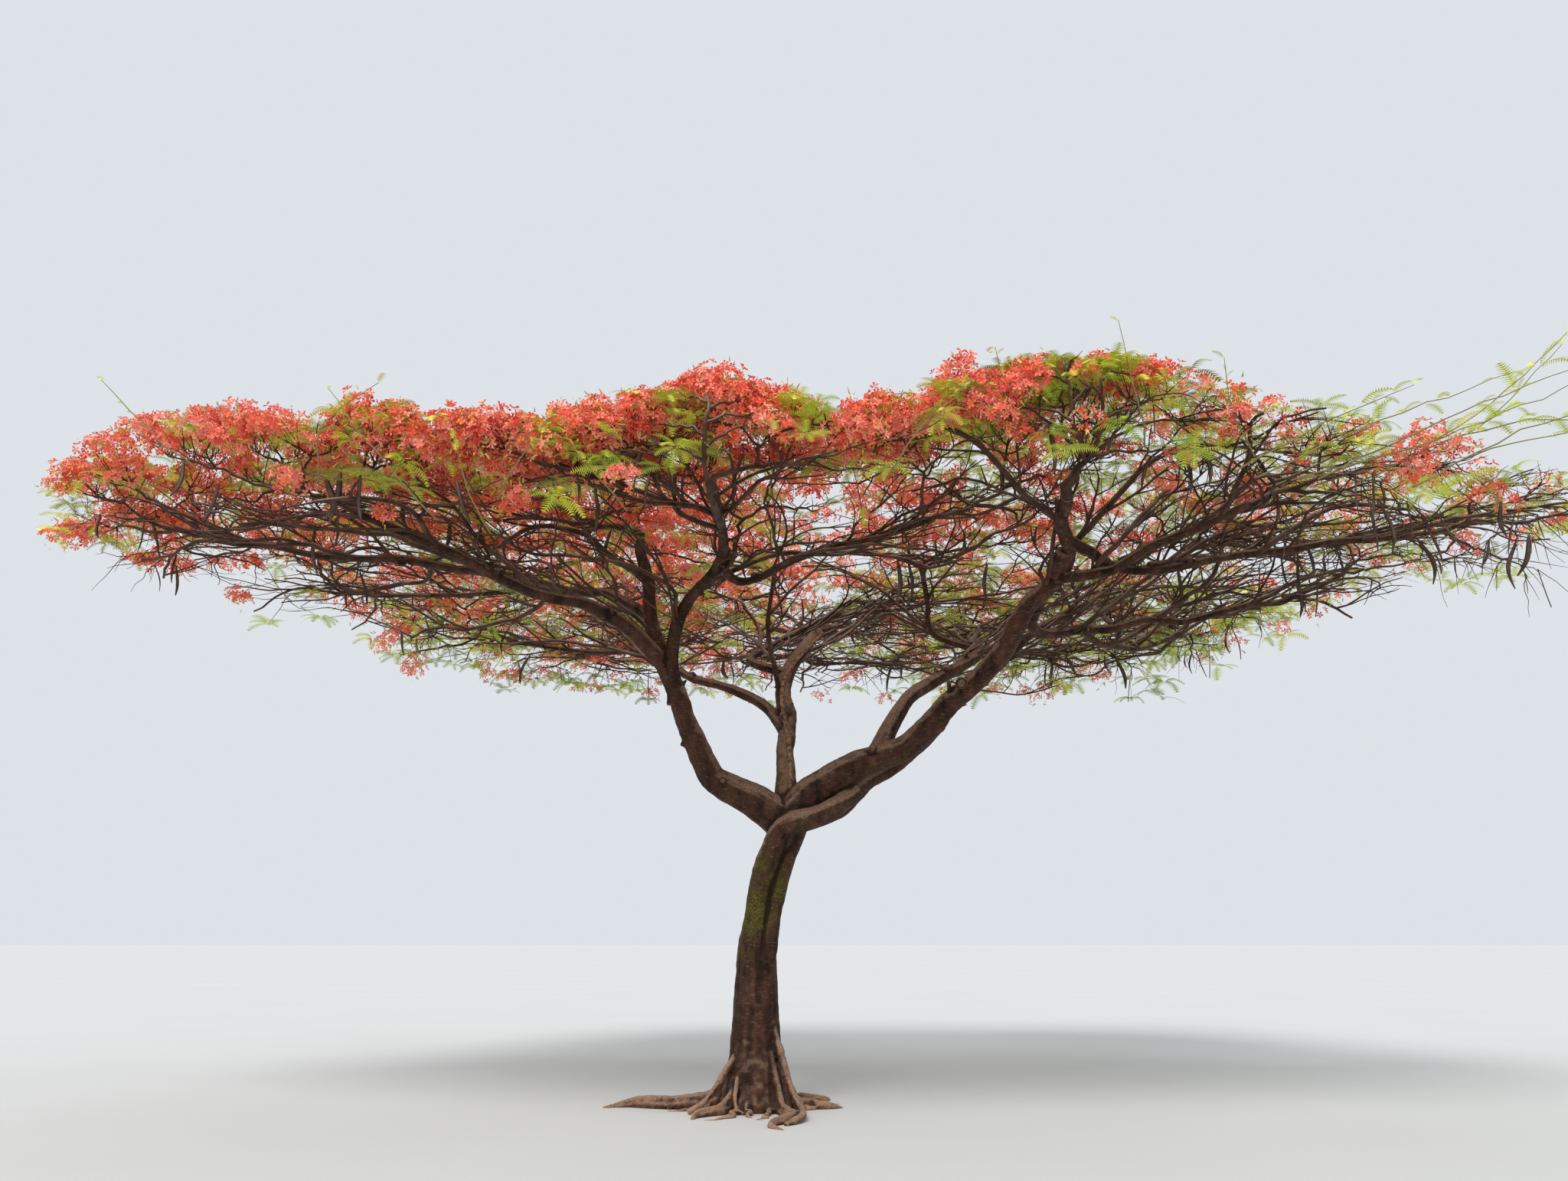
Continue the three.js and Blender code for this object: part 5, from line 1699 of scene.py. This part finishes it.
class FLAMETREE_OT_pods(bpy.types.Operator):
    """Hangs dry pods from the lower twigs and at listed places in the crown's front"""

    bl_idname = "flame_tree.pods"
    bl_label = "Pods"

    def execute(self, context):
        settings = context.scene.flame_tree_pods
        draw = np.random.default_rng(SEEDS["pods"])
        twigs = [path for path, tip in tree_plan()["twigs"] if tip["layer"] == 1 and len(path) > 2]
        stalks = np.array([path[-2][0] for path in twigs])
        weight = 1 + 2 * (stalks[:, 0] > 4) + 1.5 * (stalks[:, 1] < -1.5)
        chosen = draw.choice(len(twigs), settings.count, replace=False, p=weight / weight.sum())
        slender = settings.pod_width / settings.pod_length
        shapes = [pod_shape(slender * wide, curl) for wide, curl in ((1, 0.05), (1.25, 0.1), (0.95, 0.14))]
        stalks = np.concatenate([stalks[chosen], FRONT_PODS])
        kind = draw.integers(0, 3, len(stalks))
        bundle = Bundle()
        for index, shape in enumerate(shapes):
            mine = stalks[kind == index]
            hang = unit(UP + draw.normal(0, 0.2, mine.shape))
            bundle.add_copies(shape, mine, axes_facing(hang, draw.uniform(0, 6, len(mine))),
                              settings.pod_length * draw.uniform(0.5, 1.12, len(mine)))
        dry = tinted_material("dry_pod", settings.pod, np.array(settings.pod) * 2.2, 0.55)
        finish_piece(bundle.piece("pods", True), dry)
        return {"FINISHED"}


# Stage

SENSOR_WIDTH = 36
LENS = 27.03  # as wide a view as the photo's


class FLAMETREE_OT_stage(bpy.types.Operator):
    """Lays the floor, sets the soft light and places the camera where the photo was taken"""

    bl_idname = "flame_tree.stage"
    bl_label = "Stage"

    def execute(self, context):
        settings = context.scene.flame_tree_stage
        deselect_all()
        bpy.ops.mesh.primitive_plane_add(size=400, location=(0, 0, 0))
        floor = context.object
        floor.name = "floor"
        material, nodes, shader, links = new_material("floor_paint")
        shade = object_noise(nodes, links, 0.3, 2)
        base = np.array(settings.floor)
        links.new(ramp(nodes, links, shade, [(0.3, base * 0.97), (0.7, base)]), shader.inputs["Base Color"])
        shader.inputs["Roughness"].default_value = 0.9
        floor.data.materials.append(material)
        world = bpy.data.worlds.new("soft_sky")
        world.use_nodes = True
        background = world.node_tree.nodes["Background"]
        background.inputs["Color"].default_value = (*settings.sky, 1)
        background.inputs["Strength"].default_value = settings.sky_strength
        context.scene.world = world
        bpy.ops.object.light_add(type="SUN", location=(-6, -10, 14),
                                 rotation=(math.radians(38), math.radians(-18), 0))
        key = context.object
        key.name = "key_light"
        key.data.energy = settings.key_strength
        key.data.angle = math.radians(25)
        bpy.ops.object.camera_add(location=(settings.aside, -settings.distance, settings.eye_height),
                                  rotation=(math.pi / 2 + settings.pitch, 0, 0))
        camera = context.object
        camera.name = "camera"
        camera.data.sensor_width = SENSOR_WIDTH
        camera.data.lens = LENS
        camera.data.clip_end = 1000
        context.scene.camera = camera
        context.scene.view_settings.view_transform = "Standard"
        return {"FINISHED"}


class FLAMETREE_PT_panel(bpy.types.Panel):
    """Lists the makers of the tree's pieces and their settings"""

    bl_label = "Flame Tree"
    bl_idname = "FLAMETREE_PT_panel"
    bl_space_type = "VIEW_3D"
    bl_region_type = "UI"
    bl_category = "Flame Tree"

    def draw(self, context):
        for operator in OPERATORS:
            self.layout.operator(operator.bl_idname)
        for name, group in SETTINGS.items():
            box = self.layout.box()
            for key in group.__annotations__:
                box.prop(getattr(context.scene, name), key)


OPERATORS = (
    FLAMETREE_OT_trunk, FLAMETREE_OT_scars, FLAMETREE_OT_boughs, FLAMETREE_OT_twigs, FLAMETREE_OT_shoots,
    FLAMETREE_OT_blossom, FLAMETREE_OT_leaves, FLAMETREE_OT_pods, FLAMETREE_OT_stage,
)
SETTINGS = {
    "flame_tree_bark": FlameTreeBark,
    "flame_tree_twigs": FlameTreeTwigs,
    "flame_tree_blossom": FlameTreeBlossom,
    "flame_tree_leaves": FlameTreeLeaves,
    "flame_tree_pods": FlameTreePods,
    "flame_tree_stage": FlameTreeStage,
}


def register():
    """Registers the settings, the operators and the panel."""
    for group in SETTINGS.values():
        bpy.utils.register_class(group)
    for operator in (*OPERATORS, FLAMETREE_PT_panel):
        bpy.utils.register_class(operator)
    for name, group in SETTINGS.items():
        setattr(bpy.types.Scene, name, bpy.props.PointerProperty(type=group))


def unregister():
    """Takes everything off again, in the other order."""
    for name in SETTINGS:
        delattr(bpy.types.Scene, name)
    for cls in reversed((*SETTINGS.values(), *OPERATORS, FLAMETREE_PT_panel)):
        bpy.utils.unregister_class(cls)


def main():
    """Makes the whole tree."""
    register()
    bpy.ops.flame_tree.trunk()
    bpy.ops.flame_tree.scars()
    bpy.ops.flame_tree.boughs()
    bpy.ops.flame_tree.twigs()
    bpy.ops.flame_tree.shoots()
    bpy.ops.flame_tree.blossom()
    bpy.ops.flame_tree.leaves()
    bpy.ops.flame_tree.pods()
    bpy.ops.flame_tree.stage()
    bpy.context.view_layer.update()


if __name__ == "__main__":
    main()
